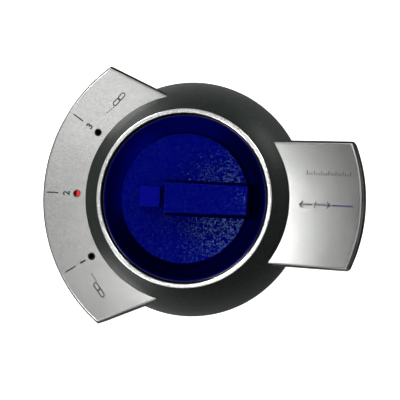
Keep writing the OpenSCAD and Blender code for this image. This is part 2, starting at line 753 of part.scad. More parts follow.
// A close-wound torsion spring: its coil round the pin, one leg on the flap and one under the roof
module shutter_spring() {
    y0 = flap_w / 2 - wire_r;
    leg = 2.6;
    color([0.72, 0.72, 0.7]) translate([-hinge_in, 0, hinge_h]) {
        difference() {
            translate([0, y0, 0]) rotate([90, 0, 0]) cylinder(h = coil_len, r = coil_r + wire_r, $fn = 32);
            rotate([90, 0, 0]) cylinder(h = big, r = coil_r - wire_r, center = true, $fn = 32);
        }
        translate([-coil_r, y0 - coil_len + 1.5 * wire_r, -leg]) cylinder(h = leg, r = wire_r * 0.8, $fn = 16);
        translate([-leg, y0 - 1.5 * wire_r, coil_r]) rotate([0, 90, 0])
            cylinder(h = leg, r = wire_r * 0.8, $fn = 16);
    }
}

module link_1_jack() { at_link(0) jack(); }
module link_2_jack() { at_link(1) jack(); }
module link_3_jack() { at_link(2) jack(); }
module common_jack() { at_common() jack(); }
module link_1_fibre_stub() { at_link(0) fibre_stub(); }
module link_2_fibre_stub() { at_link(1) fibre_stub(); }
module link_3_fibre_stub() { at_link(2) fibre_stub(); }
module common_fibre_stub() { at_common() fibre_stub(); }
module link_1_shutter() { at_link(0) shutter(); }
module link_2_shutter() { at_link(1) shutter(); }
module link_3_shutter() { at_link(2) shutter(); }
module common_shutter() { at_common() shutter(); }
module link_1_shutter_pin() { at_link(0) shutter_pin(); }
module link_2_shutter_pin() { at_link(1) shutter_pin(); }
module link_3_shutter_pin() { at_link(2) shutter_pin(); }
module common_shutter_pin() { at_common() shutter_pin(); }
module link_1_shutter_spring() { at_link(0) shutter_spring(); }
module link_2_shutter_spring() { at_link(1) shutter_spring(); }
module link_3_shutter_spring() { at_link(2) shutter_spring(); }
module common_shutter_spring() { at_common() shutter_spring(); }

base_pan();
rubber_feet();
base_screws();
upper_housing();
trim_ring();
link_wing_plate();
common_wing_plate();
indicator_sleeves();
spindle_bush();
detent_spring();
detent_screw();
common_light_guide();
knob();
knob_clip();
rotor();
retaining_ring();
thrust_washer();
selector_light_guide();
link_light_guide();
indicator_flag();
link_1_jack();
link_2_jack();
link_3_jack();
common_jack();
link_1_fibre_stub();
link_2_fibre_stub();
link_3_fibre_stub();
common_fibre_stub();
link_1_shutter();
link_2_shutter();
link_3_shutter();
common_shutter();
link_1_shutter_pin();
link_2_shutter_pin();
link_3_shutter_pin();
common_shutter_pin();
link_1_shutter_spring();
link_2_shutter_spring();
link_3_shutter_spring();
common_shutter_spring();
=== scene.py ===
"""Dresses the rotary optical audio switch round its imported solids, and sets up the studio it is seen in."""

import logging
import math
from dataclasses import dataclass
from enum import Enum

import bmesh
import bpy
from mathutils import Matrix, Vector


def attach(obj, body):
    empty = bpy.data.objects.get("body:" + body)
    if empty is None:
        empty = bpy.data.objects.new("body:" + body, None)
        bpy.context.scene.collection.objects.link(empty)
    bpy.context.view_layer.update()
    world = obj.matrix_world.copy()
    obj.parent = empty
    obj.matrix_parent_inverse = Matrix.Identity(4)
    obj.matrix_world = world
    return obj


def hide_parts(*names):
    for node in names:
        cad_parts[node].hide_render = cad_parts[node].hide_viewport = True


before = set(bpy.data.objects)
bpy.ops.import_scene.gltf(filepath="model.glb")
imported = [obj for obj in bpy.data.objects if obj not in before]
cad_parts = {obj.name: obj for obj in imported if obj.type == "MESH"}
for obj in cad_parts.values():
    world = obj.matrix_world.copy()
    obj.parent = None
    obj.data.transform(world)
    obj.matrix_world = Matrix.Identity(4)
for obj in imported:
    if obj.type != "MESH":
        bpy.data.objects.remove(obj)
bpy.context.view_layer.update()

MM = 0.001
OVER = 1.0  # How far a cutter runs past what it cuts
LOG = logging.getLogger("optical_switch")

Flat = tuple[float, float]
Spot = tuple[float, float, float]
Ring = list[Spot]
Piece = bpy.types.Object
Signal = bpy.types.NodeSocket
Value = float | tuple[float, ...] | Signal


class Body(Enum):
    """The bodies that the pieces ride on, beside the four shutters."""

    HOUSING = "housing"
    SELECTOR = "selector"


class Cut(Enum):
    """What a cutter does to the piece it meets."""

    AWAY = "DIFFERENCE"
    JOIN = "UNION"


class Zone(Enum):
    """The knob's surfaces by their material slot: differently finished, with painted light on the tile and
    painted shade on the rim.
    """

    POLISHED = 0
    GRAINED = 1
    RIM = 2
    TILE = 3


def polar(radius: float, degrees: float) -> Flat:
    """The flat point at a radius and an angle."""
    return radius * math.cos(math.radians(degrees)), radius * math.sin(math.radians(degrees))


def arc(centre: Flat, radius: float, start: float, end: float, steps: int) -> list[Flat]:
    """Points along an arc.

    Args:
        centre: The arc's centre.
        radius: Its radius.
        start: Its first angle, in degrees.
        end: Its last angle, in degrees.
        steps: How many chords it has.

    Returns:
        steps + 1 flat points.
    """
    turn = (end - start) / steps
    spots = [polar(radius, start + turn * i) for i in range(steps + 1)]
    return [(centre[0] + x, centre[1] + y) for x, y in spots]


def bulged(p: Flat, q: Flat, rise: float, steps: int, inward: float = 0.0) -> list[Flat]:
    """Points on an arc from p to q that stands proud of its chord.

    Args:
        p: The first end.
        q: The last end.
        rise: How far it stands proud, to the left of the way from p to q.
        steps: How many chords it has.
        inward: How far the arc is drawn in towards its centre.

    Returns:
        steps + 1 flat points.
    """
    a, b = Vector(p), Vector(q)
    chord = (b - a).length
    along = (b - a) / chord
    left = Vector((-along.y, along.x))
    radius = chord * chord / (8 * rise) + rise / 2
    centre = (a + b) / 2 + left * (rise - radius)
    half = math.asin(chord / (2 * radius))
    spots = []
    for i in range(steps + 1):
        angle = half * (1 - 2 * i / steps)
        spot = centre + (radius - inward) * (left * math.cos(angle) - along * math.sin(angle))
        spots.append((spot.x, spot.y))
    return spots


def lifted(outline: list[Flat], z: float) -> Ring:
    """A flat outline set at a height."""
    return [(x, y, z) for x, y in outline]


def standing(spots: tuple[Flat, ...] | list[Flat]) -> list[Matrix]:
    """The upright places over some flat points."""
    return [Matrix.Translation((x, y, 0.0)) for x, y in spots]


class Bench:
    """The modelling moves that the sub-assemblies share. Lengths come in as millimetres."""

    @staticmethod
    def clear() -> None:
        """Leaves edit mode and deselects everything."""
        if bpy.context.object is not None and bpy.context.object.mode != "OBJECT":
            bpy.ops.object.mode_set(mode="OBJECT")
        bpy.ops.object.select_all(action="DESELECT")

    @staticmethod
    def take(piece: Piece) -> None:
        """Makes one piece the only selected and active one.

        Args:
            piece: The piece.
        """
        Bench.clear()
        piece.select_set(True)
        bpy.context.view_layer.objects.active = piece

    @staticmethod
    def start() -> None:
        """Clears the bench, so that the next primitive starts a new piece."""
        Bench.clear()
        bpy.context.view_layer.objects.active = None

    @staticmethod
    def seed(spot: Spot) -> None:
        """Adds a plane, draws it together to one vertex and moves that to its spot.

        Args:
            spot: Where the vertex goes.
        """
        bpy.ops.mesh.primitive_plane_add(size=MM)
        if bpy.context.mode == "OBJECT":
            bpy.ops.object.mode_set(mode="EDIT")
            bpy.ops.mesh.select_all(action="SELECT")
        bpy.ops.mesh.select_mode(type="VERT")
        bpy.ops.mesh.merge(type="CENTER")
        bpy.ops.transform.translate(value=[c * MM for c in spot])

    @staticmethod
    def trail(spots: list[Spot]) -> None:
        """Extrudes the selected vertex from spot to spot.

        Args:
            spots: The spots, of which the first is where the vertex is.
        """
        for a, b in zip(spots, spots[1:]):
            step = [(q - p) * MM for p, q in zip(a, b)]
            bpy.ops.mesh.extrude_vertices_move(TRANSFORM_OT_translate={"value": step})

    @staticmethod
    def close(spot: Spot) -> None:
        """Joins the end of a trail, still selected, to the vertex that it started from.

        Args:
            spot: Where the trail started.
        """
        mesh = bmesh.from_edit_mesh(bpy.context.object.data)
        min(mesh.verts, key=lambda v: (v.co / MM - Vector(spot)).length).select_set(True)
        bmesh.update_edit_mesh(bpy.context.object.data)
        bpy.ops.mesh.edge_face_add()

    @staticmethod
    def done(name: str) -> Piece:
        """Leaves edit mode, names the piece on the bench and turns its faces outward.

        Args:
            name: The piece's name.

        Returns:
            The piece.
        """
        bpy.ops.object.mode_set(mode="OBJECT")
        piece = bpy.context.object
        piece.name = piece.data.name = name
        mesh = bmesh.new()
        mesh.from_mesh(piece.data)
        if mesh.calc_volume(signed=True) < 0:
            piece.data.flip_normals()
        mesh.free()
        return piece

    @staticmethod
    def weld() -> None:
        """Merges doubled vertices in edit mode, clears loose edges and turns the faces outward."""
        bpy.ops.mesh.select_all(action="SELECT")
        bpy.ops.mesh.remove_doubles(threshold=0.0005 * MM)
        bpy.ops.mesh.delete_loose()
        bpy.ops.mesh.normals_make_consistent(inside=False)

    @staticmethod
    def turned(name: str, profile: list[Flat], axis: Flat = (0.0, 0.0), steps: int = 40) -> Piece:
        """Spins a closed profile about an upright axis.

        Args:
            name: The piece's name.
            profile: (radius, height) points round the section.
            axis: Where the axis stands.
            steps: How many steps the spin takes.

        Returns:
            The turned piece.
        """
        Bench.start()
        spots = [(axis[0] + r, axis[1], z) for r, z in profile]
        Bench.seed(spots[0])
        Bench.trail(spots + spots[:1])
        bpy.ops.mesh.select_all(action="SELECT")
        middle = (axis[0] * MM, axis[1] * MM, 0)
        bpy.ops.mesh.spin(steps=steps, angle=math.tau, center=middle, axis=(0, 0, 1))
        Bench.weld()
        return Bench.done(name)

    @staticmethod
    def lofted(name: str, rings: list[Ring], closed: bool = False) -> Piece:
        """Bridges a run of rings that have the same number of points.

        Args:
            name: The piece's name.
            rings: The rings in order, each a closed loop of spots.
            closed: Whether the last ring is bridged back to the first, instead of both being filled.

        Returns:
            The lofted piece.
        """
        Bench.start()
        count, last = len(rings[0]), len(rings) - 1
        for ring in rings:
            Bench.seed(ring[0])
            Bench.trail(ring)
            Bench.close(ring[0])
        pairs = [(i, i + 1) for i in range(last)] + ([(last, 0)] if closed else [])
        for pair in pairs:
            Bench.pick_rings(count, pair)
            bpy.ops.mesh.bridge_edge_loops()
        for end in () if closed else (0, last):
            Bench.pick_rings(count, (end,))
            bpy.ops.mesh.edge_face_add()
        bpy.ops.mesh.select_all(action="SELECT")
        bpy.ops.mesh.normals_make_consistent(inside=False)
        return Bench.done(name)

    @staticmethod
    def pick_rings(count: int, rings: tuple[int, ...]) -> None:
        """Selects the edges of some rings of a loft in edit mode.

        Args:
            count: How many points each ring has.
            rings: The rings' numbers.
        """
        bpy.ops.mesh.select_mode(type="EDGE")
        bpy.ops.mesh.select_all(action="DESELECT")
        mesh = bmesh.from_edit_mesh(bpy.context.object.data)
        mesh.verts.index_update()
        for edge in mesh.edges:
            first, last = (v.index // count for v in edge.verts)
            if first == last and first in rings:
                edge.select_set(True)
        bmesh.update_edit_mesh(bpy.context.object.data)

    @staticmethod
    def border(piece: Piece, way: Spot, width: float = 0.08, sink: float = 0.0) -> None:
        """Insets the largest face that looks one way, and sinks a panel inside the border.

        Args:
            piece: The piece.
            way: The direction that the face looks in.
            width: The border's width.
            sink: The panel's depth, or 0 for a flat border that only steadies the shading.
        """
        Bench.take(piece)
        bpy.ops.object.mode_set(mode="EDIT")
        bpy.ops.mesh.select_mode(type="FACE")
        bpy.ops.mesh.select_all(action="DESELECT")
        mesh = bmesh.from_edit_mesh(piece.data)
        facing = [face for face in mesh.faces if face.normal.dot(Vector(way)) > 0.9]
        max(facing, key=lambda face: face.calc_area()).select_set(True)
        bmesh.update_edit_mesh(piece.data)
        bpy.ops.mesh.inset(thickness=width * MM, depth=0.0)
        if sink > 0:
            bpy.ops.mesh.inset(thickness=sink * MM, depth=-sink * MM)
        bpy.ops.object.mode_set(mode="OBJECT")

    @staticmethod
    def boxed(name: str, low: Spot, high: Spot) -> Piece:
        """A block between two corners, mostly a cutter."""
        flats = [(low[0], low[1]), (high[0], low[1]), (high[0], high[1]), (low[0], high[1])]
        return Bench.lofted(name, [lifted(flats, z) for z in (low[2], high[2])])

    @staticmethod
    def drilled(radius: float, low: float, high: float) -> Piece:
        """A round cutter on the origin's upright axis."""
        return Bench.turned("drill", [(0, low), (radius, low), (radius, high), (0, high)])

    @staticmethod
    def copied(model: Piece, places: list[Matrix]) -> list[Piece]:
        """Copies a model that was made at the origin to its places, and removes the model.

        Args:
            model: The model.
            places: Each copy's place, in millimetres.

        Returns:
            The copies, each with its own mesh.
        """
        copies = []
        for place in places:
            Bench.take(model)
            bpy.ops.object.duplicate()
            copy, spot = bpy.context.object, place.copy()
            spot.translation = spot.translation * MM
            copy.matrix_world = spot
            bpy.ops.object.transform_apply(location=True, rotation=True, scale=True)
            copies.append(copy)
        bpy.data.objects.remove(model, do_unlink=True)
        return copies

    @staticmethod
    def meet(piece: Piece, others: list[Piece], how: Cut) -> None:
        """Cuts other meshes out of a piece, or joins them to it, and removes them.

        Args:
            piece: The piece.
            others: The other meshes.
            how: Whether they are cut away or joined.
        """
        for other in others:
            mod = piece.modifiers.new("meet", "BOOLEAN")
            mod.operation, mod.object, mod.solver = how.value, other, "EXACT"
            Bench.take(piece)
            bpy.ops.object.modifier_apply(modifier=mod.name)
            bpy.data.objects.remove(other, do_unlink=True)

    @staticmethod
    def soften(piece: Piece, width: float, degrees: float = 40.0, rows: int = 2) -> None:
        """Rounds a piece's sharp edges with a bevel that is applied.

        Args:
            piece: The piece.
            width: The bevel's width.
            degrees: The angle from which an edge counts as sharp.
            rows: How many rows of faces the bevel has.
        """
        mod = piece.modifiers.new("soften", "BEVEL")
        mod.width, mod.segments, mod.angle_limit = width * MM, rows, math.radians(degrees)
        mod.limit_method, mod.use_clamp_overlap = "ANGLE", True
        Bench.take(piece)
        bpy.ops.object.modifier_apply(modifier=mod.name)

    @staticmethod
    def smooth(piece: Piece, degrees: float = 32.0) -> Piece:
        """Shades a piece smooth except across sharp edges.

        Args:
            piece: The piece.
            degrees: The angle from which an edge counts as sharp.

        Returns:
            The piece.
        """
        Bench.take(piece)
        bpy.ops.object.shade_smooth_by_angle(angle=math.radians(degrees))
        return piece

    @staticmethod
    def gathered(name: str, parts: list[Piece]) -> Piece:
        """Joins separate meshes into one piece without cutting them.

        Args:
            name: The piece's name.
            parts: The meshes, of which the first takes in the others.

        Returns:
            The piece.
        """
        Bench.take(parts[0])
        for part in parts:
            part.select_set(True)
        if len(parts) > 1:
            bpy.ops.object.join()
        parts[0].name = parts[0].data.name = name
        return parts[0]

    @staticmethod
    def end_leg(middle: Spot, reach: float, way: Spot) -> None:
        """Draws out the end of a wire in object mode.

        Args:
            middle: The middle of the wire's open end.
            reach: How far from there the end's vertices lie at most.
            way: The leg's length along each axis.
        """
        for vertex in bpy.context.object.data.vertices:
            vertex.select = (vertex.co / MM - Vector(middle)).length < reach
        bpy.ops.object.mode_set(mode="EDIT")
        bpy.ops.mesh.select_mode(type="VERT")
        bpy.ops.mesh.extrude_edges_move(TRANSFORM_OT_translate={"value": [c * MM for c in way]})
        bpy.ops.mesh.edge_face_add()
        bpy.ops.mesh.select_all(action="DESELECT")
        bpy.ops.object.mode_set(mode="OBJECT")

    @staticmethod
    def settle(piece: Piece, body: str, finishes: list[bpy.types.Material],
               slot: str | None = None, node: str | None = None) -> None:
        """Gives a finished piece its body and finishes, and hides the node it stands for.

        Args:
            piece: The piece.
            body: The body that it rides on.
            finishes: Its materials, in the order of its slots.
            slot: The record's material slot, where it has one; not used.
            node: The solid that it takes the place of, where there is one.
        """
        for finish in finishes:
            piece.data.materials.append(finish)
        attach(piece, body)
        if node is not None:
            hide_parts(node)
        LOG.info("%s: %d faces on %s", piece.name, len(piece.data.polygons), body)


class Tree:
    """A material's node tree, built node by node."""

    def __init__(self, name: str) -> None:
        """Starts a material with one shader and an output.

        Args:
            name: The material's name.
        """
        self.material = bpy.data.materials.new(name)
        self.material.use_nodes = True
        self.nodes = self.material.node_tree.nodes
        self.links = self.material.node_tree.links
        self.shader = self.nodes["Principled BSDF"]
        self.place = self.nodes.new("ShaderNodeTexCoord").outputs["Object"]

    def put(self, kind: str, settings: dict[str, str] | None = None, **values: Value) -> bpy.types.Node:
        """Adds a node.

        Args:
            kind: The node's type.
            settings: Properties of the node.
            **values: Inputs by name with _ for a space, as a value or another node's socket.

        Returns:
            The node.
        """
        node = self.nodes.new(kind)
        for key, setting in (settings or {}).items():
            setattr(node, key, setting)
        for key, value in values.items():
            self.feed(node.inputs[key.replace("_", " ")], value)
        return node

    def feed(self, entry: Signal, value: Value) -> None:
        """Links a socket to an input, or sets the input's own value.

        Args:
            entry: The input.
            value: A value or another node's socket.
        """
        if isinstance(value, Signal):
            self.links.new(value, entry)
        else:
            entry.default_value = value

    def set(self, **values: Value) -> None:
        """Sets or links the shader's inputs by name."""
        for key, value in values.items():
            self.feed(self.shader.inputs[key.replace("_", " ")], value)

    def grain(self, size: float, detail: float = 2.0) -> Signal:
        """Fine noise with a grain of some millimetres, from 0 to 1."""
        noise = self.put("ShaderNodeTexNoise", Vector=self.place, Scale=1 / (size * MM), Detail=detail)
        return noise.outputs["Fac"]

    def cells(self, size: float) -> Signal:
        """A random value for each cell of some millimetres."""
        cell = self.put("ShaderNodeTexVoronoi", Vector=self.place, Scale=1 / (size * MM))
        return self.put("ShaderNodeSeparateColor", Color=cell.outputs["Color"]).outputs["Red"]

    def spread(self, value: Signal, low: float, high: float, start: float = 0.3, end: float = 0.7) -> Signal:
        """Maps the middle of a noise, or another stretch of it, to a range."""
        ends = {"From_Min": start, "From_Max": end, "To_Min": low, "To_Max": high}
        return self.put("ShaderNodeMapRange", Value=value, **ends).outputs["Result"]

    def shade(self, value: Signal, colour: Spot, low: float, high: float) -> Signal:
        """A colour that a noise takes from one brightness to another.

        Args:
            value: The noise.
            colour: The colour at brightness 1.
            low: The lowest brightness.
            high: The highest brightness.

        Returns:
            The colour.
        """
        ends = [(*[min(1.0, c * k) for c in colour], 1.0) for k in (low, high)]
        mix = self.put("ShaderNodeMix", {"data_type": "RGBA"})
        mix.inputs[6].default_value, mix.inputs[7].default_value = ends
        self.feed(mix.inputs[0], self.spread(value, 0.0, 1.0))
        return mix.outputs[2]

    def times(self, first: Signal, second: Signal) -> Signal:
        """The product of two colours.

        Args:
            first: One colour.
            second: The other colour.

        Returns:
            The product.
        """
        mix = self.put("ShaderNodeMix", {"data_type": "RGBA", "blend_type": "MULTIPLY"})
        for entry, value in ((0, 1.0), (6, first), (7, second)):
            self.feed(mix.inputs[entry], value)
        return mix.outputs[2]

    def relief(self, height: Signal, depth: float) -> Signal:
        """A bump of some millimetres from a height."""
        return self.put("ShaderNodeBump", Height=height, Distance=depth * MM).outputs["Normal"]


@dataclass(frozen=True)
class Moulding:
    """Moulded plastic or rubber with a fine grain, and an emission glow where one is given, which is painted
    light.
    """

    name: str
    colour: Spot
    rough: float
    grain_mm: float = 0.25
    depth_mm: float = 0.01
    mottle: float = 0.12
    mottle_mm: float = 9.0
    specular: float = 0.5
    glow: float = 0.0

    def make(self) -> bpy.types.Material:
        """Builds the material.

        Returns:
            The material.
        """
        tree = Tree(self.name)
        fine, wide = tree.grain(self.grain_mm), tree.grain(self.mottle_mm, 3.0)
        tree.set(
            Base_Color=tree.shade(wide, self.colour, 1 - self.mottle, 1 + self.mottle),
            Roughness=tree.spread(fine, self.rough * 0.88, self.rough * 1.12),
            Specular_IOR_Level=self.specular,
            Normal=tree.relief(fine, self.depth_mm),
        )
        if self.glow > 0:
            tree.set(Emission_Color=(*self.colour, 1.0), Emission_Strength=self.glow)
        return tree.material


@dataclass(frozen=True)
class FlakePaint:
    """Metallic paint: small flakes that sparkle under a satin coat."""

    name: str
    colour: Spot
    rough: float
    metallic: float = 0.0
    flake_mm: float = 0.3
    sparkle: float = 0.2
    peel_mm: float = 0.004
    cloud_mm: float = 14.0
    specular: float = 0.5
    sheen: Spot = (1.0, 1.0, 1.0)
    glitter: float = 0.0
    glitter_from: float = 0.45

    def make(self) -> bpy.types.Material:
        """Builds the material.

        Returns:
            The material.
        """
        tree = Tree(self.name)
        flakes, peel = tree.cells(self.flake_mm), tree.grain(self.flake_mm * 1.6)
        body = tree.shade(flakes, self.colour, 1 - self.sparkle, 1 + self.sparkle)
        clouds = tree.shade(tree.grain(self.cloud_mm), (1, 1, 1), 0.94, 1.0)
        tree.set(
            Base_Color=tree.times(body, clouds),
            Metallic=self.metallic,
            Roughness=tree.spread(peel, self.rough * 0.9, self.rough * 1.1),
            Specular_IOR_Level=self.specular,
            Specular_Tint=(*self.sheen, 1.0),
            Normal=tree.relief(peel, self.peel_mm),
        )
        if self.glitter > 0:
            tree.set(Specular_IOR_Level=tree.spread(flakes, 0.0, self.glitter, self.glitter_from, 1.0))
        return tree.material


@dataclass(frozen=True)
class BareMetal:
    """Bright or spring metal with faint drawn marks."""

    name: str
    colour: Spot
    rough: float
    grain_mm: float = 0.2
    depth_mm: float = 0.002
    cloud_mm: float = 6.0

    def make(self) -> bpy.types.Material:
        """Builds the material.

        Returns:
            The material.
        """
        tree = Tree(self.name)
        fine, wide = tree.grain(self.grain_mm, 3.0), tree.grain(self.cloud_mm, 3.0)
        tree.set(
            Base_Color=tree.shade(wide, self.colour, 0.94, 1.04),
            Metallic=1.0,
            Roughness=tree.spread(fine, self.rough * 0.8, self.rough * 1.2),
            Normal=tree.relief(fine, self.depth_mm),
        )
        return tree.material


@dataclass(frozen=True)
class Acrylic:
    """Clear light-guide acrylic with faint flow marks."""

    name: str
    colour: Spot
    rough: float = 0.05
    flow_mm: float = 2.5
    depth_mm: float = 0.003
    index: float = 1.49

    def make(self) -> bpy.types.Material:
        """Builds the material.

        Returns:
            The material.
        """
        tree = Tree(self.name)
        flow = tree.grain(self.flow_mm)
        tree.set(
            Base_Color=tree.shade(flow, self.colour, 0.96, 1.0),
            Roughness=tree.spread(flow, self.rough * 0.7, self.rough * 1.4),
            Transmission_Weight=0.9,
            IOR=self.index,
            Normal=tree.relief(flow, self.depth_mm),
        )
        return tree.material


@dataclass(frozen=True)
class FloorPaint:
    """Pale matt floor that glows like a light table."""

    name: str
    colour: Spot
    rough: float = 0.9
    cloud_mm: float = 60.0
    specular: float = 0.1
    glow: float = 0.95

    def make(self) -> bpy.types.Material:
        """Builds the material.

        Returns:
            The material.
        """
        tree = Tree(self.name)
        tree.set(
            Base_Color=tree.shade(tree.grain(self.cloud_mm, 3.0), self.colour, 0.99, 1.01),
            Roughness=self.rough,
            Specular_IOR_Level=self.specular,
            Emission_Color=(1, 1, 1, 1),
            Emission_Strength=self.glow,
        )
        return tree.material


class Finishes:
    """Every finish of the switch."""

    def __init__(self) -> None:
        """Makes each finish once."""
        self.shell = FlakePaint(
            "gunmetal_paint", (0.0084, 0.0103, 0.009), 0.4,
            sparkle=0.25, specular=0.042, sheen=(0.93, 1.0, 0.95)).make()
        # The side walls' paint is darker than the bezel's gunmetal, which is painted shade.
        self.wall = FlakePaint(
            "matte_wall_painted_shade", (0.005, 0.0055, 0.005), 0.7, sparkle=0.25, specular=0.0).make()
        self.ledge = FlakePaint(
            "satin_ledge_paint", (0.008, 0.009, 0.008), 0.26, peel_mm=0.002, specular=1.0).make()
        self.plate = FlakePaint(
            "silver_plate_paint", (0.72, 0.72, 0.705), 0.18, metallic=1.0, flake_mm=0.4, sparkle=0.05).make()
        # The edges' silver is darker than the plate's, which is painted shade; their rougher finish is real.
        self.plate_edge = FlakePaint(
            "silver_edge_painted_shade", (0.36, 0.36, 0.352), 0.38,
            metallic=1.0, flake_mm=0.4, sparkle=0.05, peel_mm=0.003).make()
        self.trim = BareMetal("polished_trim", (0.76, 0.76, 0.755), 0.25, depth_mm=0.0004).make()
        self.knob_grained = FlakePaint(
            "grained_blue", (0.0003, 0.0012, 0.114), 0.07, flake_mm=0.46, sparkle=0.12, peel_mm=0.021,
            specular=0.05, sheen=(0.5, 0.85, 1.0), glitter=0.115).make()
        self.knob_polished = FlakePaint(
            "polished_blue", (0.0002, 0.0006, 0.074), 0.25,
            metallic=1.0, flake_mm=0.6, sparkle=0.03, peel_mm=0.001).make()
        # The tile's brighter blue is painted light on the same plastic; its smoother finish is real.
        self.knob_tile = FlakePaint(
            "tile_blue_painted_light", (0.0003, 0.0012, 0.17), 0.3, flake_mm=0.6, sparkle=0.05, specular=0.02).make()
        # The rim's much darker blue is painted shade; its gloss is real.
        self.knob_rim = FlakePaint(
            "glossy_blue_painted_shade", (0.0002, 0.0008, 0.012), 0.2,
            flake_mm=0.6, sparkle=0.03, peel_mm=0.001, specular=0.4).make()
        self.black = Moulding("black_moulding", (0.008, 0.008, 0.009), 0.42).make()
        self.base = Moulding(
            "base_moulding", (0.012, 0.012, 0.013), 0.58, grain_mm=0.4, depth_mm=0.03).make()
        self.rubber = Moulding(
            "foot_rubber", (0.014, 0.014, 0.014), 0.8,
            grain_mm=0.15, depth_mm=0.015, mottle=0.2, specular=0.3).make()
        self.shutter = Moulding("shutter_moulding", (0.018, 0.018, 0.02), 0.5, grain_mm=0.2).make()
        self.rotor = Moulding("rotor_moulding", (0.03, 0.03, 0.032), 0.5).make()
        self.acetal = Moulding(
            "natural_acetal", (0.72, 0.69, 0.60), 0.4, grain_mm=0.3, depth_mm=0.004, mottle=0.05).make()
        self.steel = BareMetal("plated_steel", (0.52, 0.52, 0.53), 0.3).make()
        self.spring = BareMetal("spring_steel", (0.46, 0.46, 0.45), 0.34, grain_mm=0.12).make()
        self.acrylic = Acrylic("guide_acrylic", (0.93, 0.96, 0.98)).make()
        # The flag's glow is painted light, standing in for the light that reaches it down the indicator
        # holes.
        self.flag = Moulding(
            "flag_red_painted_glow", (0.85, 0.035, 0.03), 0.45,
            grain_mm=0.3, depth_mm=0.006, mottle=0.06, glow=0.7).make()
        self.ink, self.navy = [
            Moulding(name, colour, 0.6, grain_mm=0.2, depth_mm=0.002, mottle=0.2).make()
            for name, colour in (("plate_ink", (0.012, 0.012, 0.022)), ("navy_ink", (0.008, 0.010, 0.09)))]


@dataclass
class Plan:
    """The switch's plan: the knob axis, the two wings and the heights that all the pieces share."""

    case_r: float = 55.9
    axis_back: float = 4.6
    fan_angle: float = 23.8
    fan_reach: float = 29.0
    tab_flare: float = 1.3
    tab_reach: float = 20.6
    draft: float = -2.5
    foot_z: float = 1.2
    floor_z: float = 2.8
    plate_under: float = 13.0
    plate_z: float = 14.5
    wall: float = 1.8
    plate_inset: float = 0.85
    base_inset: float = 0.3
    bezel_r: float = 40.3
    bezel_edge_z: float = 7.0
    bezel_foot_r: float = 38.7
    bezel_top: float = 18.9
    bezel_bulge: float = 1.1
    bezel_lip: float = 0.15
    ring_r: float = 30.25
    well_r: float = 28.95
    step: float = 33.5
    arc_steps: int = 40

    @property
    def axis(self) -> Flat:
        """Where the knob axis stands."""
        return -self.axis_back, 0.0

    @property
    def links(self) -> list[float]:
        """The link sockets' angles, from 1 to 3."""
        return [180 + self.step, 180.0, 180 - self.step]

    def grow(self, z: float) -> float:
        """How far the drafted walls have spread at a height."""
        return (self.plate_z - z) * math.tan(math.radians(self.draft))

    def flank(self, steps: int, inward: float = 0.0) -> list[Flat]:
        """The bezel's curved flank from its top edge to its widest edge."""
        top = (self.ring_r + self.bezel_lip, self.bezel_top)
        return bulged(top, (self.bezel_r, self.bezel_edge_z), self.bezel_bulge, steps, inward)

    def flank_r(self, z: float) -> float:
        """The flank's radius at a height.

        Args:
            z: The height.

        Returns:
            The radius about the knob axis.
        """
        spots = self.flank(64)
        for (r0, z0), (r1, z1) in zip(spots, spots[1:]):
            if z1 <= z <= z0:
                return r0 + (r1 - r0) * (z0 - z) / (z0 - z1)
        return spots[-1][0]

    def wing(self, common: bool) -> tuple[Vector, Vector, float]:
        """A wing's side edge at +Y.

        Args:
            common: Whether it is the common wing, at +X.

        Returns:
            The edge's normal, its way outward and its distance from the knob axis.
        """
        if common:
            turn, reach, quarter = 90 + self.tab_flare, self.tab_reach, -90
        else:
            turn, reach, quarter = 90 - self.fan_angle, self.fan_reach, 90
        return Vector(polar(1, turn)), Vector(polar(1, turn + quarter)), reach

    def outer(self, common: bool, inset: float, z: float, root_r: float) -> list[Flat]:
        """A wing's edge from one root round its end to the other root.

        Args:
            common: Whether it is the common wing, at +X.
            inset: How far it is drawn in from the wall.
            z: The height, which the draft depends on.
            root_r: The radius about the knob axis where it starts and ends.

        Returns:
            The points, from +Y to -Y.
        """
        normal, out, reach = self.wing(common)
        away = reach - inset + self.grow(z)
        radius = self.case_r - inset + self.grow(z)
        centre = Vector((self.axis_back, 0.0))
        root = normal * away + out * math.sqrt(root_r * root_r - away * away)
        run = out.dot(centre) + math.sqrt(radius * radius - (away - normal.dot(centre)) ** 2)
        corner = normal * away + out * run - centre
        angle = math.degrees(math.atan2(corner.y, corner.x))
        end = -angle if common else 360 - angle
        rim = arc((0.0, 0.0), radius, angle, end, self.arc_steps)
        x = root.x - self.axis_back
        return [(x, root.y), *rim, (x, -root.y)]

    def inner(self, path: list[Flat]) -> list[Flat]:
        """The arc about the knob axis from a path's last point back to its first.

        Args:
            path: The path, alike on both sides of the X axis.

        Returns:
            The arc's points without its ends.
        """
        x, y = path[-1][0] + self.axis_back, path[-1][1]
        start = math.degrees(math.atan2(y, x))
        end = -start if start > -90 else -360 - start
        return arc(self.axis, math.hypot(x, y), start, end, self.arc_steps)[1:-1]

    def about_axis(self, angle: float, far: float, z: float = 0.0) -> Matrix:
        """The place at an angle and a distance from the knob axis, with x pointing away from it."""
        turn = Matrix.Rotation(math.radians(angle), 4, "Z")
        return Matrix.Translation((-self.axis_back, 0.0, z)) @ turn @ Matrix.Translation((far, 0.0, 0.0))


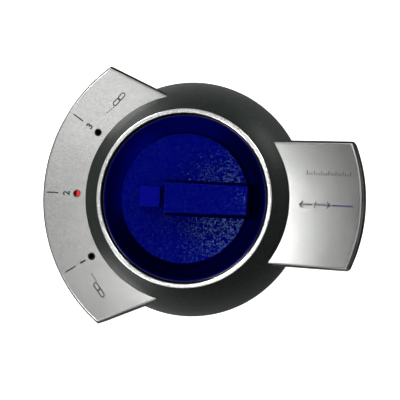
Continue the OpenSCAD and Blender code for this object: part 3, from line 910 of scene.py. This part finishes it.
@dataclass
class Sockets:
    """The four optical sockets: their shutters and springs, which are seen through the mouths.

    Each is modelled in its own frame, with x out of the mouth and z up from the socket's foot.
    """

    plan: Plan
    finish: Finishes
    face_link: float = 49.55
    face_common: float = 58.75
    width: float = 9.7
    height: float = 10.0
    depth: float = 9.8
    fit: float = 0.05
    side: float = 0.75
    sill: float = 1.5
    mouth: float = 6.45
    mouth_room: float = 0.2
    mouth_reach: float = 7.0
    hinge_in: float = 1.7
    hinge_h: float = 8.65
    flap_w: float = 7.9
    flap_t: float = 0.6
    flap_low: float = 1.3
    flap_edge: float = 0.12
    panel_border: float = 0.78
    panel_sink: float = 0.15
    notch_room: float = 0.2
    barrel_r: float = 0.65
    pin_r: float = 0.45
    coil_r: float = 0.72
    coil_gap: float = 0.12
    coil_room: float = 0.3
    wire_r: float = 0.08
    pitch: float = 0.2
    turns: float = 6.25
    flap_leg: float = 2.4
    wall_leg: float = 0.75

    @property
    def links(self) -> dict[str, Matrix]:
        """The link sockets' names and places."""
        places = [self.plan.about_axis(a, self.face_link, self.plan.floor_z) for a in self.plan.links]
        return {f"link_{i + 1}": place for i, place in enumerate(places)}

    @property
    def common(self) -> dict[str, Matrix]:
        """The common socket's name and place."""
        return {"common": self.plan.about_axis(0.0, self.face_common, self.plan.floor_z)}

    @property
    def spring_room(self) -> float:
        """How much of the flap's width its spring takes."""
        return self.pitch * self.turns + self.coil_room

    def cutters(self, places: list[Matrix]) -> list[Piece]:
        """The pockets behind an end wall and the openings through it.

        Args:
            places: The sockets' places.

        Returns:
            The cutters.
        """
        half, mouth = self.width / 2 + self.fit, self.width / 2 - self.side + self.mouth_room
        low, high = self.sill - self.mouth_room, self.sill + self.mouth + self.mouth_room
        pocket = Bench.boxed("pocket", (-self.depth, -half, -OVER), (self.fit, half, self.height + OVER))
        way = Bench.boxed("way", (-OVER, -mouth, low), (self.mouth_reach, mouth, high))
        return Bench.copied(pocket, places) + Bench.copied(way, places)

    def leaf(self) -> Piece:
        """A shutter's leaf, with a sunk panel in front and a notch for the spring.

        Returns:
            The leaf.
        """
        half, inner = self.flap_w / 2, self.flap_w / 2 - self.spring_room
        notch = self.hinge_h - self.coil_r - self.notch_room
        back, front, edge = -self.hinge_in - self.flap_t, -self.hinge_in, self.flap_edge

        def outline(x: float, d: float) -> Ring:
            """The leaf's outline.

            Args:
                x: How far out of the mouth it is.
                d: How far it is drawn in.

            Returns:
                The outline's spots.
            """
            low, top, y, z = self.flap_low + d, self.hinge_h - d, half - d, notch - d
            flats = ((-y, low), (y, low), (y, z), (inner - d, z), (inner - d, top), (-y, top))
            return [(x, *flat) for flat in flats]

        levels = ((back, edge), (back + edge, 0), (front - edge, 0), (front, edge))
        piece = Bench.lofted("leaf", [outline(x, d) for x, d in levels])
        Bench.border(piece, (1, 0, 0), self.panel_border, self.panel_sink)
        return piece

    def flap(self) -> Piece:
        """A whole shutter: the leaf and the barrel that turns on the pin.

        Returns:
            The shutter.
        """

        def hoop(y: float, r: float) -> Ring:
            """A circle round the hinge pin."""
            return [(x - self.hinge_in, y, self.hinge_h + z) for x, z in arc((0, 0), r, 0, 345, 23)]

        left, right = -self.flap_w / 2, self.flap_w / 2 - self.spring_room
        levels = ((left, self.pin_r), (left, self.barrel_r), (right, self.barrel_r), (right, self.pin_r))
        barrel = Bench.lofted("barrel", [hoop(y, r) for y, r in levels], closed=True)
        return Bench.smooth(Bench.gathered("flap", [self.leaf(), barrel]))

    def coil(self) -> Piece:
        """A torsion spring: a coil round the pin, a leg behind the leaf and a leg on the front wall.

        Returns:
            The spring.
        """
        Bench.start()
        first = self.flap_w / 2 - self.coil_gap
        run, reach = self.pitch * self.turns, self.wire_r * 1.05
        spot = (-self.coil_r * MM, first * MM, 0.0)
        bpy.ops.mesh.primitive_circle_add(vertices=8, radius=self.wire_r * MM, location=spot)
        bpy.ops.object.transform_apply(location=True, rotation=True, scale=True)
        mod = bpy.context.object.modifiers.new("wind", "SCREW")
        mod.axis, mod.angle, mod.screw_offset = "Y", math.tau * self.turns, -run * MM
        mod.steps = mod.render_steps = round(self.turns * 16)
        bpy.ops.object.modifier_apply(modifier=mod.name)
        Bench.end_leg((-self.coil_r, first, 0.0), reach, (0.0, 0.0, -self.flap_leg))
        Bench.end_leg((0.0, first - run, self.coil_r), reach, (self.wall_leg, 0.0, 0.0))
        bpy.ops.object.mode_set(mode="EDIT")
        Bench.weld()
        bpy.ops.transform.translate(value=(-self.hinge_in * MM, 0.0, self.hinge_h * MM))
        return Bench.smooth(Bench.done("coil"), 60)

    def build(self) -> None:
        """Makes the shutters and springs of all four sockets."""
        sockets = {**self.links, **self.common}
        places, home = list(sockets.values()), Body.HOUSING.value
        flaps, coils = Bench.copied(self.flap(), places), Bench.copied(self.coil(), places)
        for name, flap, coil in zip(sockets, flaps, coils):
            flap.name, coil.name = name + "_leaf", name + "_coil_spring"
            Bench.settle(flap, name + "_flap", [self.finish.shutter], "shutter_plastic", name + "_shutter")
            Bench.settle(coil, home, [self.finish.spring], "spring_steel", name + "_shutter_spring")


@dataclass
class Case:
    """The dark upper housing: the bezel and the side walls of both wings, with the base under them."""

    plan: Plan
    finish: Finishes
    sockets: Sockets
    ring_seat: float = 1.3
    ring_fit: float = 0.05
    ease: float = 0.06
    deck_under: float = 12.75
    deck_top: float = 14.15
    bush_r: float = 6.05
    lip: float = 0.6
    flank_steps: int = 28
    spin_steps: int = 160
    root_low: float = 37.8
    root_high: float = 36.2
    wall_soft: float = 0.18
    screw_r: float = 1.25
    head_r: float = 2.5
    head_h: float = 0.9
    head_dome: float = 0.35
    shank: float = 7.0
    tip: float = 0.6
    slot_half: Flat = (1.5, 0.3)
    slot_deep: float = 0.6
    foot_r: float = 4.0
    foot_seat: float = 0.6
    foot_soft: float = 0.5
    foot_dish: float = 0.25
    screws: tuple[Flat, ...] = ((-28.84, 37.74), (-28.84, -37.74), (41.0, 16.6), (41.0, -16.6))
    feet: tuple[Flat, ...] = ((-36.9, 33.54), (-36.9, -33.54), (48.4, 9.7), (48.4, -9.7))

    def bezel(self) -> Piece:
        """The convex bezel with the deck under the knob.

        Returns:
            The bezel.
        """
        p = self.plan
        seat, edge, inside = p.bezel_top - self.ring_seat, p.bezel_edge_z - self.lip, p.well_r + p.wall
        bore, ease = p.ring_r + self.ring_fit, self.ease
        inner = [(r, z) for r, z in p.flank(self.flank_steps, p.wall) if r > inside]
        profile = [
            (bore, seat), (bore, p.bezel_top - ease), *p.flank(self.flank_steps),
            (p.bezel_r, edge + 2 * ease), (p.bezel_r - ease, edge), (p.bezel_foot_r + 0.1, p.floor_z + 0.2),
            (p.bezel_foot_r - 0.15, p.floor_z), (p.bezel_foot_r - p.wall, p.floor_z),
            (p.bezel_r - p.wall, edge), *inner[::-1], (inside, inner[0][1]), (inside, self.deck_under),
            (self.bush_r, self.deck_under), (self.bush_r, self.deck_top), (p.well_r, self.deck_top),
            (p.well_r, seat),
        ]
        return Bench.smooth(Bench.turned("bezel", profile, p.axis, self.spin_steps), 25)

    def walls(self, name: str, common: bool) -> Piece:
        """One wing's drafted side and end walls.

        Args:
            name: The piece's name.
            common: Whether it is the common wing.

        Returns:
            The walls.
        """
        p, rings = self.plan, []
        for z, root in ((p.floor_z, self.root_low), (p.plate_under, self.root_high)):
            outside, inside = (p.outer(common, inset, z, root) for inset in (0.0, p.wall))
            rings.append(lifted(outside + inside[::-1], z))
        return Bench.lofted(name, rings)

    def pan(self) -> Piece:
        """The base pan with the seats of the feet and screws.

        Returns:
            The pan.
        """
        p, low = self.plan, self.plan.foot_z

        def outline(z: float, draw: float) -> Ring:
            """The pan's whole edge.

            Args:
                z: Its height.
                draw: How far it is drawn in.

            Returns:
                The edge's spots.
            """
            radius = p.bezel_foot_r - p.base_inset - draw
            fan, tab = (p.outer(common, p.base_inset + draw, z, radius) for common in (False, True))
            start, end = (math.degrees(math.atan2(y, x + p.axis_back)) for x, y in (fan[-1], tab[-1]))
            near, back = (arc(p.axis, radius, a, b, 20)[1:-1] for a, b in ((start, end), (-end, -start)))
            return lifted(fan + near + tab[::-1] + back, z)

        levels = ((low, 0.45), (low + 0.1, 0.18), (low + 0.35, 0.0), (p.floor_z, 0.0))
        piece = Bench.lofted("base", [outline(z, draw) for z, draw in levels])
        for spots, r, deep in (
            (self.feet, self.foot_r + 0.05, self.foot_seat), (self.screws, self.head_r + 0.2, self.head_h)
        ):
            seats = Bench.copied(Bench.drilled(r, 0.0, low + deep), standing(spots))
            Bench.meet(piece, seats, Cut.AWAY)
        return Bench.smooth(piece, 30)

    def pads(self) -> Piece:
        """Four rubber feet with a shallow dish below.

        Returns:
            The feet.
        """
        top, r, soft, dish = self.plan.foot_z + self.foot_seat, self.foot_r, self.foot_soft, self.foot_dish
        edge = arc((r - soft, soft), soft, -90, 0, 5)
        profile = [(0, dish), (r * 0.55, dish), (r * 0.7, 0.0), *edge, (r, top), (0, top)]
        foot = Bench.smooth(Bench.turned("foot", profile), 50)
        return Bench.gathered("feet", Bench.copied(foot, standing(self.feet)))

    def bolts(self) -> Piece:
        """Four cross-recessed screws, heads down.

        Returns:
            The screws.
        """
        low, top = self.plan.foot_z, self.plan.foot_z + self.head_h
        end, deep = top + self.shank, low + self.slot_deep
        quarter = [polar(1, a) for a in range(0, 91, 15)]
        dome = [(self.head_r * y, low + self.head_dome * (1 - x)) for x, y in quarter]
        shaft = [(self.head_r, top), (self.screw_r, top), (self.screw_r, end - self.tip), (0, end)]
        screw = Bench.turned("screw", dome + shaft, steps=32)
        crossed = (self.slot_half, self.slot_half[::-1])
        slots = [Bench.boxed("slot", (-a, -b, low - OVER), (a, b, deep)) for a, b in crossed]
        Bench.meet(screw, slots, Cut.AWAY)
        Bench.smooth(screw, 35)
        return Bench.gathered("screws", Bench.copied(screw, standing(self.screws)))

    def build(self) -> None:
        """Makes the case and sets its pieces on the housing."""
        home, f = Body.HOUSING.value, self.finish
        Bench.settle(self.bezel(), home, [f.shell], "gunmetal_shell", "upper_housing")
        for name, common, sockets in (
            ("link_wing_walls", False, self.sockets.links), ("common_wing_walls", True, self.sockets.common)
        ):
            piece = self.walls(name, common)
            Bench.meet(piece, self.sockets.cutters(list(sockets.values())), Cut.AWAY)
            Bench.soften(piece, self.wall_soft)
            Bench.smooth(piece, 30)
            # Side faces take the darker wall paint, painted shade; up-facing faces take the ledge paint.
            for face in piece.data.polygons:
                face.material_index = 1 if face.normal.z > 0.5 else 0
            Bench.settle(piece, home, [f.wall, f.ledge], "gunmetal_shell", "upper_housing")
        Bench.settle(self.pan(), home, [f.base], "base_plastic", "base_pan")
        Bench.settle(self.pads(), home, [f.rubber], "foot_rubber", "rubber_feet")
        Bench.settle(self.bolts(), home, [f.steel], "steel", "base_screws")


@dataclass
class Plates:
    """The silver wing plates, the sleeves of the indicator holes and the printed marks."""

    plan: Plan
    finish: Finishes
    round_mm: float = 0.35
    seam: float = 0.03
    window_at: float = 38.65
    window_r: float = 1.05
    window_wall: float = 0.25
    window_fit: float = 0.02
    drill_low: float = 12.0
    ink_t: float = 0.012
    ink_sink: float = 0.004
    numeral_at: float = 42.3
    numeral_h: float = 2.2
    numeral_bold: float = 0.1
    numeral_share: float = 0.69
    tick: Flat = (4.2, 0.46)
    tick_at: float = 45.3
    one_stem: Flat = (2.1, 0.6)
    one_stem_at: float = 41.25
    one_hook: Flat = (0.75, 0.5)
    one_hook_at: float = 43.1
    dot: Flat = (0.36, 0.42)
    leads: tuple[tuple[Flat, Flat], ...] = (
        ((-29.4, 28.2), (-27.4, 30.0)), ((-31.8, -27.4), (-30.3, -29.5)))
    chain_link: Spot = (3.3, 1.7, 0.36)
    chains: tuple[tuple[Flat, Flat], ...] = (
        ((-27.0, 31.1), (-23.8, 34.9)), ((-30.6, -30.6), (-27.4, -34.7)))
    arrow: Flat = (4.4, 0.42)
    arrow_ends: Flat = (38.9, 49.3)
    barb: Flat = (1.6, 0.42)
    barb_turn: float = 41.0
    slash: Flat = (2.4, 0.34)
    slash_at: Spot = (43.9, -1.17, 78.0)
    scale_short: Flat = (0.9, 0.26)
    scale_long: Flat = (1.5, 0.26)
    scale_from: Flat = (41.0, 9.9)
    scale_step: float = 0.81
    scale_ticks: int = 19
    pointer: Flat = (7.0, 0.55)
    pointer_from: float = 49.9

    @property
    def ink_z(self) -> float:
        """The height of the printed marks' underside."""
        return self.plan.plate_z - self.ink_sink

    def plate(self, name: str, common: bool) -> Piece:
        """One plate with a rounded upper edge, fitted round the bezel.

        Args:
            name: The piece's name.
            common: Whether it is the common wing's plate.

        Returns:
            The plate.
        """
        p, rings, soft = self.plan, [], self.round_mm
        levels = [(p.plate_under, 0.0)]
        for turn in (0, 30, 60, 90):
            a = math.radians(turn)
            levels.append((p.plate_z - soft * (1 - math.sin(a)), soft * (1 - math.cos(a))))
        for z, draw in levels:
            path = p.outer(common, p.plate_inset + draw, z, p.flank_r(z) + self.seam + draw * 0.2)
            rings.append(lifted(path + p.inner(path), z))
        piece = Bench.lofted(name, rings)
        Bench.border(piece, (0, 0, 1))
        return piece

    def windows(self) -> list[Matrix]:
        """The places of the three indicator holes."""
        spots = [polar(self.window_at, a) for a in self.plan.links]
        return standing([(x - self.plan.axis_back, y) for x, y in spots])

    def sleeves(self) -> Piece:
        """Three black sleeves with a rounded lip.

        Returns:
            The sleeves.
        """
        p, r0, r1 = self.plan, self.window_r, self.window_r + self.window_wall
        low, top = p.plate_under - 0.1, p.plate_z - 0.05
        profile = [(r0, low), (r1, low), (r1, top - 0.06), (r1 - 0.06, top), (r0 + 0.1, top), (r0, top - 0.1)]
        sleeve = Bench.smooth(Bench.turned("sleeve", profile), 40)
        return Bench.gathered("indicator_hole_sleeves", Bench.copied(sleeve, self.windows()))

    def strokes(self, shape: Flat, places: list[Matrix]) -> list[Piece]:
        """Printed strokes of one length and width, each along its place's x from its place's origin."""
        low, high = (0, -shape[1] / 2, self.ink_z), (shape[0], shape[1] / 2, self.ink_z + self.ink_t)
        return Bench.copied(Bench.boxed("stroke", low, high), places)

    def rows(self, spots: list[Spot]) -> list[Matrix]:
        """Places on a plate from points about the knob axis and the angle that each one faces."""
        turns = [Matrix.Rotation(math.radians(turn), 4, "Z") for _, _, turn in spots]
        return [place @ turn for place, turn in zip(
            standing([(x - self.plan.axis_back, y) for x, y, _ in spots]), turns)]

    def along(self, lines: tuple[tuple[Flat, Flat], ...], shares: tuple[float, ...]) -> list[Matrix]:
        """Places on some lines about the knob axis, facing along them.

        Args:
            lines: The ends of each line.
            shares: How far along a line each place is, from 0 to 1.

        Returns:
            The places.
        """
        spots = []
        for a, b in ((Vector(first), Vector(last)) for first, last in lines):
            turn = math.degrees(math.atan2(b.y - a.y, b.x - a.x))
            spots += [(*a.lerp(b, share), turn) for share in shares]
        return self.rows(spots)

    def hoop(self, length: float, height: float, width: float) -> Piece:
        """A printed long ring, such as one link of a chain.

        Args:
            length: Its length along x.
            height: Its height along y.
            width: The width of its line.

        Returns:
            The ring.
        """
        flat, low, high, rings = (length - height) / 2, self.ink_z, self.ink_z + self.ink_t, []
        for start, shift in ((-90, flat), (90, -flat)):
            for turn in range(start, start + 181, 18):
                (x0, y0), (x1, y1) = polar(height / 2, turn), polar(height / 2 - width, turn)
                x0, x1 = x0 + shift, x1 + shift
                rings.append([(x0, y0, low), (x0, y0, high), (x1, y1, high), (x1, y1, low)])
        return Bench.lofted("link", rings, closed=True)

    def numeral(self, sign: str, angle: float) -> Piece:
        """A printed numeral with its head outward.

        Args:
            sign: The numeral.
            angle: Its angle about the knob axis.

        Returns:
            The numeral.
        """
        Bench.clear()
        bpy.ops.object.text_add()
        text = bpy.context.object.data
        text.body, text.align_x, text.align_y, text.resolution_u = sign, "CENTER", "CENTER", 4
        text.size, text.offset = self.numeral_h * MM / self.numeral_share, self.numeral_bold * MM
        text.extrude = self.ink_t * MM / 2
        bpy.ops.object.convert(target="MESH")
        bpy.ops.object.mode_set(mode="EDIT")
        Bench.weld()
        piece = Bench.done("numeral")
        x, y = polar(self.numeral_at, angle)
        spot = Vector((x - self.plan.axis_back, y, self.ink_z + self.ink_t / 2)) * MM
        piece.matrix_world = Matrix.Translation(spot) @ Matrix.Rotation(math.radians(angle - 90), 4, "Z")
        bpy.ops.object.transform_apply(location=True, rotation=True, scale=True)
        return piece

    def link_marks(self) -> Piece:
        """Ticks, numerals, dotted leads and chain links on the link wing.

        Returns:
            The marks.
        """
        p, first = self.plan, self.plan.links[0]
        hook = (*polar(self.one_hook_at, first - 0.3), first + 140)
        marks = self.strokes(self.tick, [p.about_axis(a, self.tick_at) for a in p.links])
        marks += self.strokes(self.one_stem, [p.about_axis(first, self.one_stem_at)])
        marks += self.strokes(self.one_hook, self.rows([hook]))
        marks += [self.numeral(sign, angle) for sign, angle in zip("23", p.links[1:])]
        marks += self.strokes(self.dot, self.along(self.leads, (0, 1 / 3, 2 / 3, 1)))
        marks += Bench.copied(self.hoop(*self.chain_link), self.along(self.chains, (0.25, 0.75)))
        return Bench.gathered("link_wing_marks", marks)

    def common_marks(self) -> Piece:
        """The in and out arrows and the small scale on the common wing.

        Returns:
            The marks.
        """
        (left, right), turn = self.arrow_ends, self.barb_turn
        marks = self.strokes(self.arrow, self.rows([(left, 0, 0), (right - self.arrow[0], 0, 0)]))
        barbs = [(left, 0, turn), (left, 0, -turn), (right, 0, 180 - turn), (right, 0, turn - 180)]
        marks += self.strokes(self.barb, self.rows(barbs))
        marks += self.strokes(self.slash, self.rows([self.slash_at]))
        x, y = self.scale_from
        for shape, every in ((self.scale_short, (1, 2)), (self.scale_long, (0,))):
            ticks = [(x + self.scale_step * i, y, 90) for i in range(self.scale_ticks) if i % 3 in every]
            marks += self.strokes(shape, self.rows(ticks))
        return Bench.gathered("common_wing_marks", marks)

    def build(self) -> None:
        """Makes the plates, sleeves and marks."""
        home, f = Body.HOUSING.value, self.finish
        for name, common, node in (
            ("link_plate", False, "link_wing_plate"), ("common_plate", True, "common_wing_plate")
        ):
            piece = self.plate(name, common)
            if not common:
                radius = self.window_r + self.window_wall + self.window_fit
                drill = Bench.drilled(radius, self.drill_low, self.plan.plate_z + OVER)
                Bench.meet(piece, Bench.copied(drill, self.windows()), Cut.AWAY)
            Bench.smooth(piece, 35)
            # The rounded edges take the darker silver, painted shade.
            for face in piece.data.polygons:
                face.material_index = 0 if face.normal.z > 0.97 else 1
            Bench.settle(piece, home, [f.plate, f.plate_edge], "plate_silver", node)
        Bench.settle(self.sleeves(), home, [f.black], "black_plastic", "indicator_sleeves")
        for marks in (self.link_marks(), self.common_marks()):
            Bench.settle(marks, home, [f.ink])
        line = self.strokes(self.pointer, self.rows([(self.pointer_from, 0, 0)]))
        Bench.settle(Bench.gathered("common_pointer_line", line), home, [f.navy])


@dataclass
class Knob:
    """The blue knob with its finger bar and pointer tile, and the silver ring round it."""

    plan: Plan
    finish: Finishes
    radius: float = 28.45
    rim_z: float = 18.4
    rim_soft: float = 0.5
    under: float = 14.7
    disc_r: float = 22.0
    disc_z: float = 17.8
    disc_soft: float = 0.22
    groove_z: float = 16.8
    groove_hollow: float = 0.05
    shell: float = 1.3
    root: float = 0.4
    bar_front: float = 6.6
    bar_back: float = 22.9
    bar_w: float = 9.4
    bar_h: float = 3.2
    bar_slope: float = 0.8
    bar_draft: float = 18.9
    bar_soft: float = 0.38
    tile_l: float = 7.1
    tile_w: float = 6.8
    tile_h: float = 1.5
    tile_gap: float = 1.4
    tile_flare: float = 0.16
    tile_soft: float = 0.25
    ring_top: float = 19.6
    ring_low: float = 17.6
    ring_soft: float = 0.22
    spin_steps: int = 160

    def dish(self) -> Piece:
        """The turned body: rim, finger groove and disc.

        Returns:
            The body.
        """
        r, z, skirt, low = self.disc_r, self.disc_z, self.disc_r - 1.0, self.disc_z - self.shell
        rim = arc((self.radius - self.rim_soft, self.rim_z - self.rim_soft), self.rim_soft, 0, 90, 6)
        foot = (r + 0.3, self.groove_z)
        groove = bulged((self.radius - 1.0, self.rim_z - 0.04), foot, -self.groove_hollow, 16)
        lip = arc((r - self.disc_soft, z - self.disc_soft), self.disc_soft, 0, 90, 4)
        profile = [
            (r + 2.6, self.under), (self.radius, self.under + 0.4), *rim, *groove,
            (r + 0.06, self.groove_z + 0.05), (r, self.groove_z + 0.15), *lip,
            (r - 0.3, z), (r * 0.5, z), (0.0, z), (0.0, low), (skirt, low), (skirt, self.under),
        ]
        return Bench.turned("knob_blue", profile, self.plan.axis, self.spin_steps)

    def bar(self) -> Piece:
        """The finger bar: drafted sides, a top that rises to its far end, and softened edges.

        Returns:
            The bar.
        """
        base, top = self.disc_z - self.root, self.disc_z + self.bar_h + self.bar_slope
        fall = math.tan(math.radians(self.bar_draft))

        def ring(front: float, back: float, front_z: float, back_z: float) -> Ring:
            """The bar's outline from the places and heights of its two ends."""
            corners = ((front, 1, front_z), (front, -1, front_z), (back, -1, back_z), (back, 1, back_z))
            return [(x - self.plan.axis_back, side * (self.bar_w / 2 + (top - z) * fall), z)
                    for x, side, z in corners]

        piece = Bench.lofted("finger_bar", [
            ring(-self.bar_front, self.bar_back, base, base),
            ring(-self.bar_front + 0.5, self.bar_back - 0.6, self.disc_z + self.bar_h, top),
        ])
        Bench.soften(piece, self.bar_soft, 30, 3)
        Bench.border(piece, (0, 0, 1))
        return piece

    def tile(self) -> Piece:
        """The square pointer tile ahead of the bar.

        Returns:
            The tile.
        """
        end = -self.bar_front - self.tile_gap - self.plan.axis_back
        rings = []
        for z, grow in ((self.disc_z - self.root, self.tile_flare), (self.disc_z + self.tile_h, 0.0)):
            x0, x1, half = end - self.tile_l - grow, end + grow, self.tile_w / 2 + grow
            rings.append(lifted([(x0, half), (x0, -half), (x1, -half), (x1, half)], z))
        piece = Bench.lofted("pointer_tile", rings)
        Bench.soften(piece, self.tile_soft, 30, 3)
        Bench.border(piece, (0, 0, 1))
        return piece

    def zone(self, face: bpy.types.MeshPolygon) -> Zone:
        """Which finish a face of the knob has.

        Args:
            face: The face.

        Returns:
            Its zone.
        """
        x, y, z = face.center / MM
        x, up, level = x + self.plan.axis_back, face.normal.z, self.disc_z - 0.05
        out = math.hypot(x, y)
        on_bar = 0 < x < self.bar_back + 0.1 and abs(y) < self.bar_w * 0.7
        # Tile faces take a brighter blue, painted light; rim faces a much darker blue, painted shade.
        if z > level and up > 0.4 and (out < self.disc_r or on_bar):
            on_tile = x < -self.bar_front - self.tile_gap / 2 and z > level + self.tile_h * 0.6
            return Zone.TILE if on_tile else Zone.GRAINED
        return Zone.RIM if out > self.radius - self.rim_soft - 0.05 and up > 0.1 else Zone.POLISHED

    def knob(self) -> Piece:
        """The whole knob, with each face in its zone.

        Returns:
            The knob.
        """
        piece = self.dish()
        Bench.meet(piece, [self.bar(), self.tile()], Cut.JOIN)
        Bench.smooth(piece, 30)
        for face in piece.data.polygons:
            face.material_index = self.zone(face).value
        return piece

    def ring(self) -> Piece:
        """The polished trim ring with rounded edges.

        Returns:
            The ring.
        """
        r0, r1, top, soft = self.plan.well_r, self.plan.ring_r, self.ring_top, self.ring_soft
        outer = arc((r1 - soft, top - soft), soft, 0, 90, 5)
        inner = arc((r0 + soft, top - soft), soft, 90, 180, 5)
        flat = [(r1 - soft - 0.06, top), (r0 + soft + 0.06, top)]
        profile = [(r0, self.ring_low), (r1, self.ring_low), *outer, *flat, *inner]
        return Bench.smooth(Bench.turned("silver_ring", profile, self.plan.axis, self.spin_steps), 50)

    def build(self) -> None:
        """Makes the knob and its ring."""
        f = self.finish
        zones = {Zone.POLISHED: f.knob_polished, Zone.GRAINED: f.knob_grained,
                 Zone.RIM: f.knob_rim, Zone.TILE: f.knob_tile}
        blues = [zones[zone] for zone in Zone]
        Bench.settle(self.knob(), Body.SELECTOR.value, blues, "knob_blue", "knob")
        Bench.settle(self.ring(), Body.HOUSING.value, [f.trim], "trim_silver", "trim_ring")


@dataclass
class Works:
    """The inner works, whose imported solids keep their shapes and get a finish."""

    finish: Finishes

    def dress(self) -> None:
        """Gives every node that still shows its finish."""
        f = self.finish
        by_node = {
            "spindle_bush": f.acetal, "detent_spring": f.spring, "detent_screw": f.steel,
            "common_light_guide": f.acrylic, "knob_clip": f.spring, "rotor": f.rotor,
            "retaining_ring": f.spring, "thrust_washer": f.steel, "selector_light_guide": f.acrylic,
            "link_light_guide": f.acrylic, "indicator_flag": f.flag,
        }
        for socket in ("link_1", "link_2", "link_3", "common"):
            by_node[socket + "_jack"] = f.black
            by_node[socket + "_fibre_stub"] = f.acrylic
            by_node[socket + "_shutter_pin"] = f.steel
        for node, finish in by_node.items():
            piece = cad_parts[node]
            piece.data.materials.clear()
            piece.data.materials.append(finish)
            LOG.info("%s: finish %s", node, finish.name)


@dataclass
class Studio:
    """The floor, the lights and the camera."""

    plan: Plan
    pixels: float = 400.0
    sensor: float = 36.0
    scale_mm: float = 0.34
    eye: Spot = (124.87, -11.09, 600.0)
    roll: float = 2.715
    axis_px: Flat = (186.28, 198.64)
    floor_m: float = 4.0
    room_glow: float = 0.04
    ceiling: float = 600.0
    aim: Spot = (0.0, 0.0, 10.0)
    box_far: float = 720.0
    tent_far: float = 800.0
    tent_z: float = 500.0
    tent_size: Flat = (640.0, 480.0)
    tent_glow: float = 0.6
    tent_panels: int = 8

    def camera(self) -> None:
        """Sets the camera where the picture was taken from."""
        target = Vector((-self.plan.axis_back, 0.0, self.plan.plate_z))
        away = Vector(self.eye) - target
        focal = away.length / self.scale_mm
        away.normalize()
        turn = math.radians(self.roll)
        flat_x = (Vector((1, 0, 0)) - away * away.x).normalized()
        flat_y = away.cross(flat_x)
        along = flat_x * math.cos(turn) + flat_y * math.sin(turn)
        up = flat_y * math.cos(turn) - flat_x * math.sin(turn)
        half = self.pixels / 2
        sight = along * (half - self.axis_px[0]) - up * (half - self.axis_px[1]) - away * focal
        back = -sight.normalized()
        along = (along - back * along.dot(back)).normalized()
        up = back.cross(along)
        lens = bpy.data.cameras.new("camera")
        lens.sensor_width, lens.lens = self.sensor, self.sensor * focal / self.pixels
        lens.clip_start, lens.clip_end = 0.05, 10.0
        viewer = bpy.data.objects.new("camera", lens)
        bpy.context.scene.collection.objects.link(viewer)
        turned = Matrix((along, up, back)).transposed().to_4x4()
        viewer.matrix_world = Matrix.Translation(Vector(self.eye) * MM) @ turned
        bpy.context.scene.camera = viewer

    def lamp(self, name: str, spot: Spot, aim: Spot, size: Flat, glow: float) -> None:
        """Hangs one soft box.

        Args:
            name: Its name.
            spot: Where it hangs.
            aim: What it points at.
            size: Its width and height.
            glow: How bright its face is.
        """
        data = bpy.data.lights.new(name, "AREA")
        data.shape, data.size, data.size_y = "RECTANGLE", size[0] * MM, size[1] * MM
        data.energy = glow * math.pi * data.size * data.size_y
        light = bpy.data.objects.new(name, data)
        bpy.context.scene.collection.objects.link(light)
        way = Vector(aim) - Vector(spot)
        light.location = Vector(spot) * MM
        light.rotation_mode = "QUATERNION"
        light.rotation_quaternion = way.to_track_quat("-Z", "Y")

    def floor(self) -> None:
        """A plain pale floor."""
        Bench.clear()
        bpy.ops.mesh.primitive_plane_add(size=self.floor_m)
        ground = bpy.context.object
        ground.name = "floor"
        ground.data.materials.append(FloorPaint("pale_floor", (0.8, 0.8, 0.8)).make())

    def light(self) -> None:
        """Soft boxes round the object and a pale room."""
        world = bpy.data.worlds.new("room")
        world.use_nodes = True
        sky = world.node_tree.nodes["Background"].inputs
        sky["Color"].default_value, sky["Strength"].default_value = (1, 1, 1, 1), self.room_glow
        bpy.context.scene.world = world
        wide, high, low = (110, 110), (300, 300), (320, 200)
        for name, x, y, size, glow in (
            ("near_ceiling_box", -102, -12, (28, 90), 15.4), ("fill_ceiling_box", -135, -40, (80, 80), 0.78),
            ("far_ceiling_box", -200, -20, wide, 0.46), ("left_ceiling_box", -200, 95, wide, 1.06),
            ("right_ceiling_box", -200, -120, wide, 0.16), ("end_left_ceiling_box", -300, 50, wide, 0.37),
            ("end_right_ceiling_box", -300, -70, wide, 0.16),
        ):
            self.lamp(name, (x, y, self.ceiling), (x, y, 0), size, glow)
        for name, turn, rise, size, glow in (
            ("right_high_box", 0, 58, high, 1.75), ("left_high_box", 240, 58, high, 0.82),
            ("front_high_box", 300, 58, high, 2.0), ("back_low_box", 45, 12, low, 32.5),
            ("left_low_box", 135, 12, low, 40), ("front_low_box", 225, 12, low, 32),
        ):
            flat, z = polar(self.box_far, rise)
            self.lamp(name, (*polar(flat, turn), z), self.aim, size, glow)
        for panel in range(self.tent_panels):
            spot = (*polar(self.tent_far, panel * 360 / self.tent_panels), self.tent_z)
            self.lamp(f"tent_panel_{panel + 1}", spot, self.aim, self.tent_size, self.tent_glow)

    def build(self) -> None:
        """Makes the whole studio."""
        self.floor()
        self.light()
        self.camera()
        bpy.context.scene.view_settings.view_transform = "Standard"


def main() -> None:
    """Builds the studio and the sub-assemblies in order."""
    logging.basicConfig(level=logging.INFO, format="%(message)s")
    plan, finish = Plan(), Finishes()
    Studio(plan).build()
    sockets = Sockets(plan, finish)
    Case(plan, finish, sockets).build()
    sockets.build()
    Plates(plan, finish).build()
    Knob(plan, finish).build()
    Works(finish).dress()
    Bench.clear()


if __name__ == "__main__":
    main()
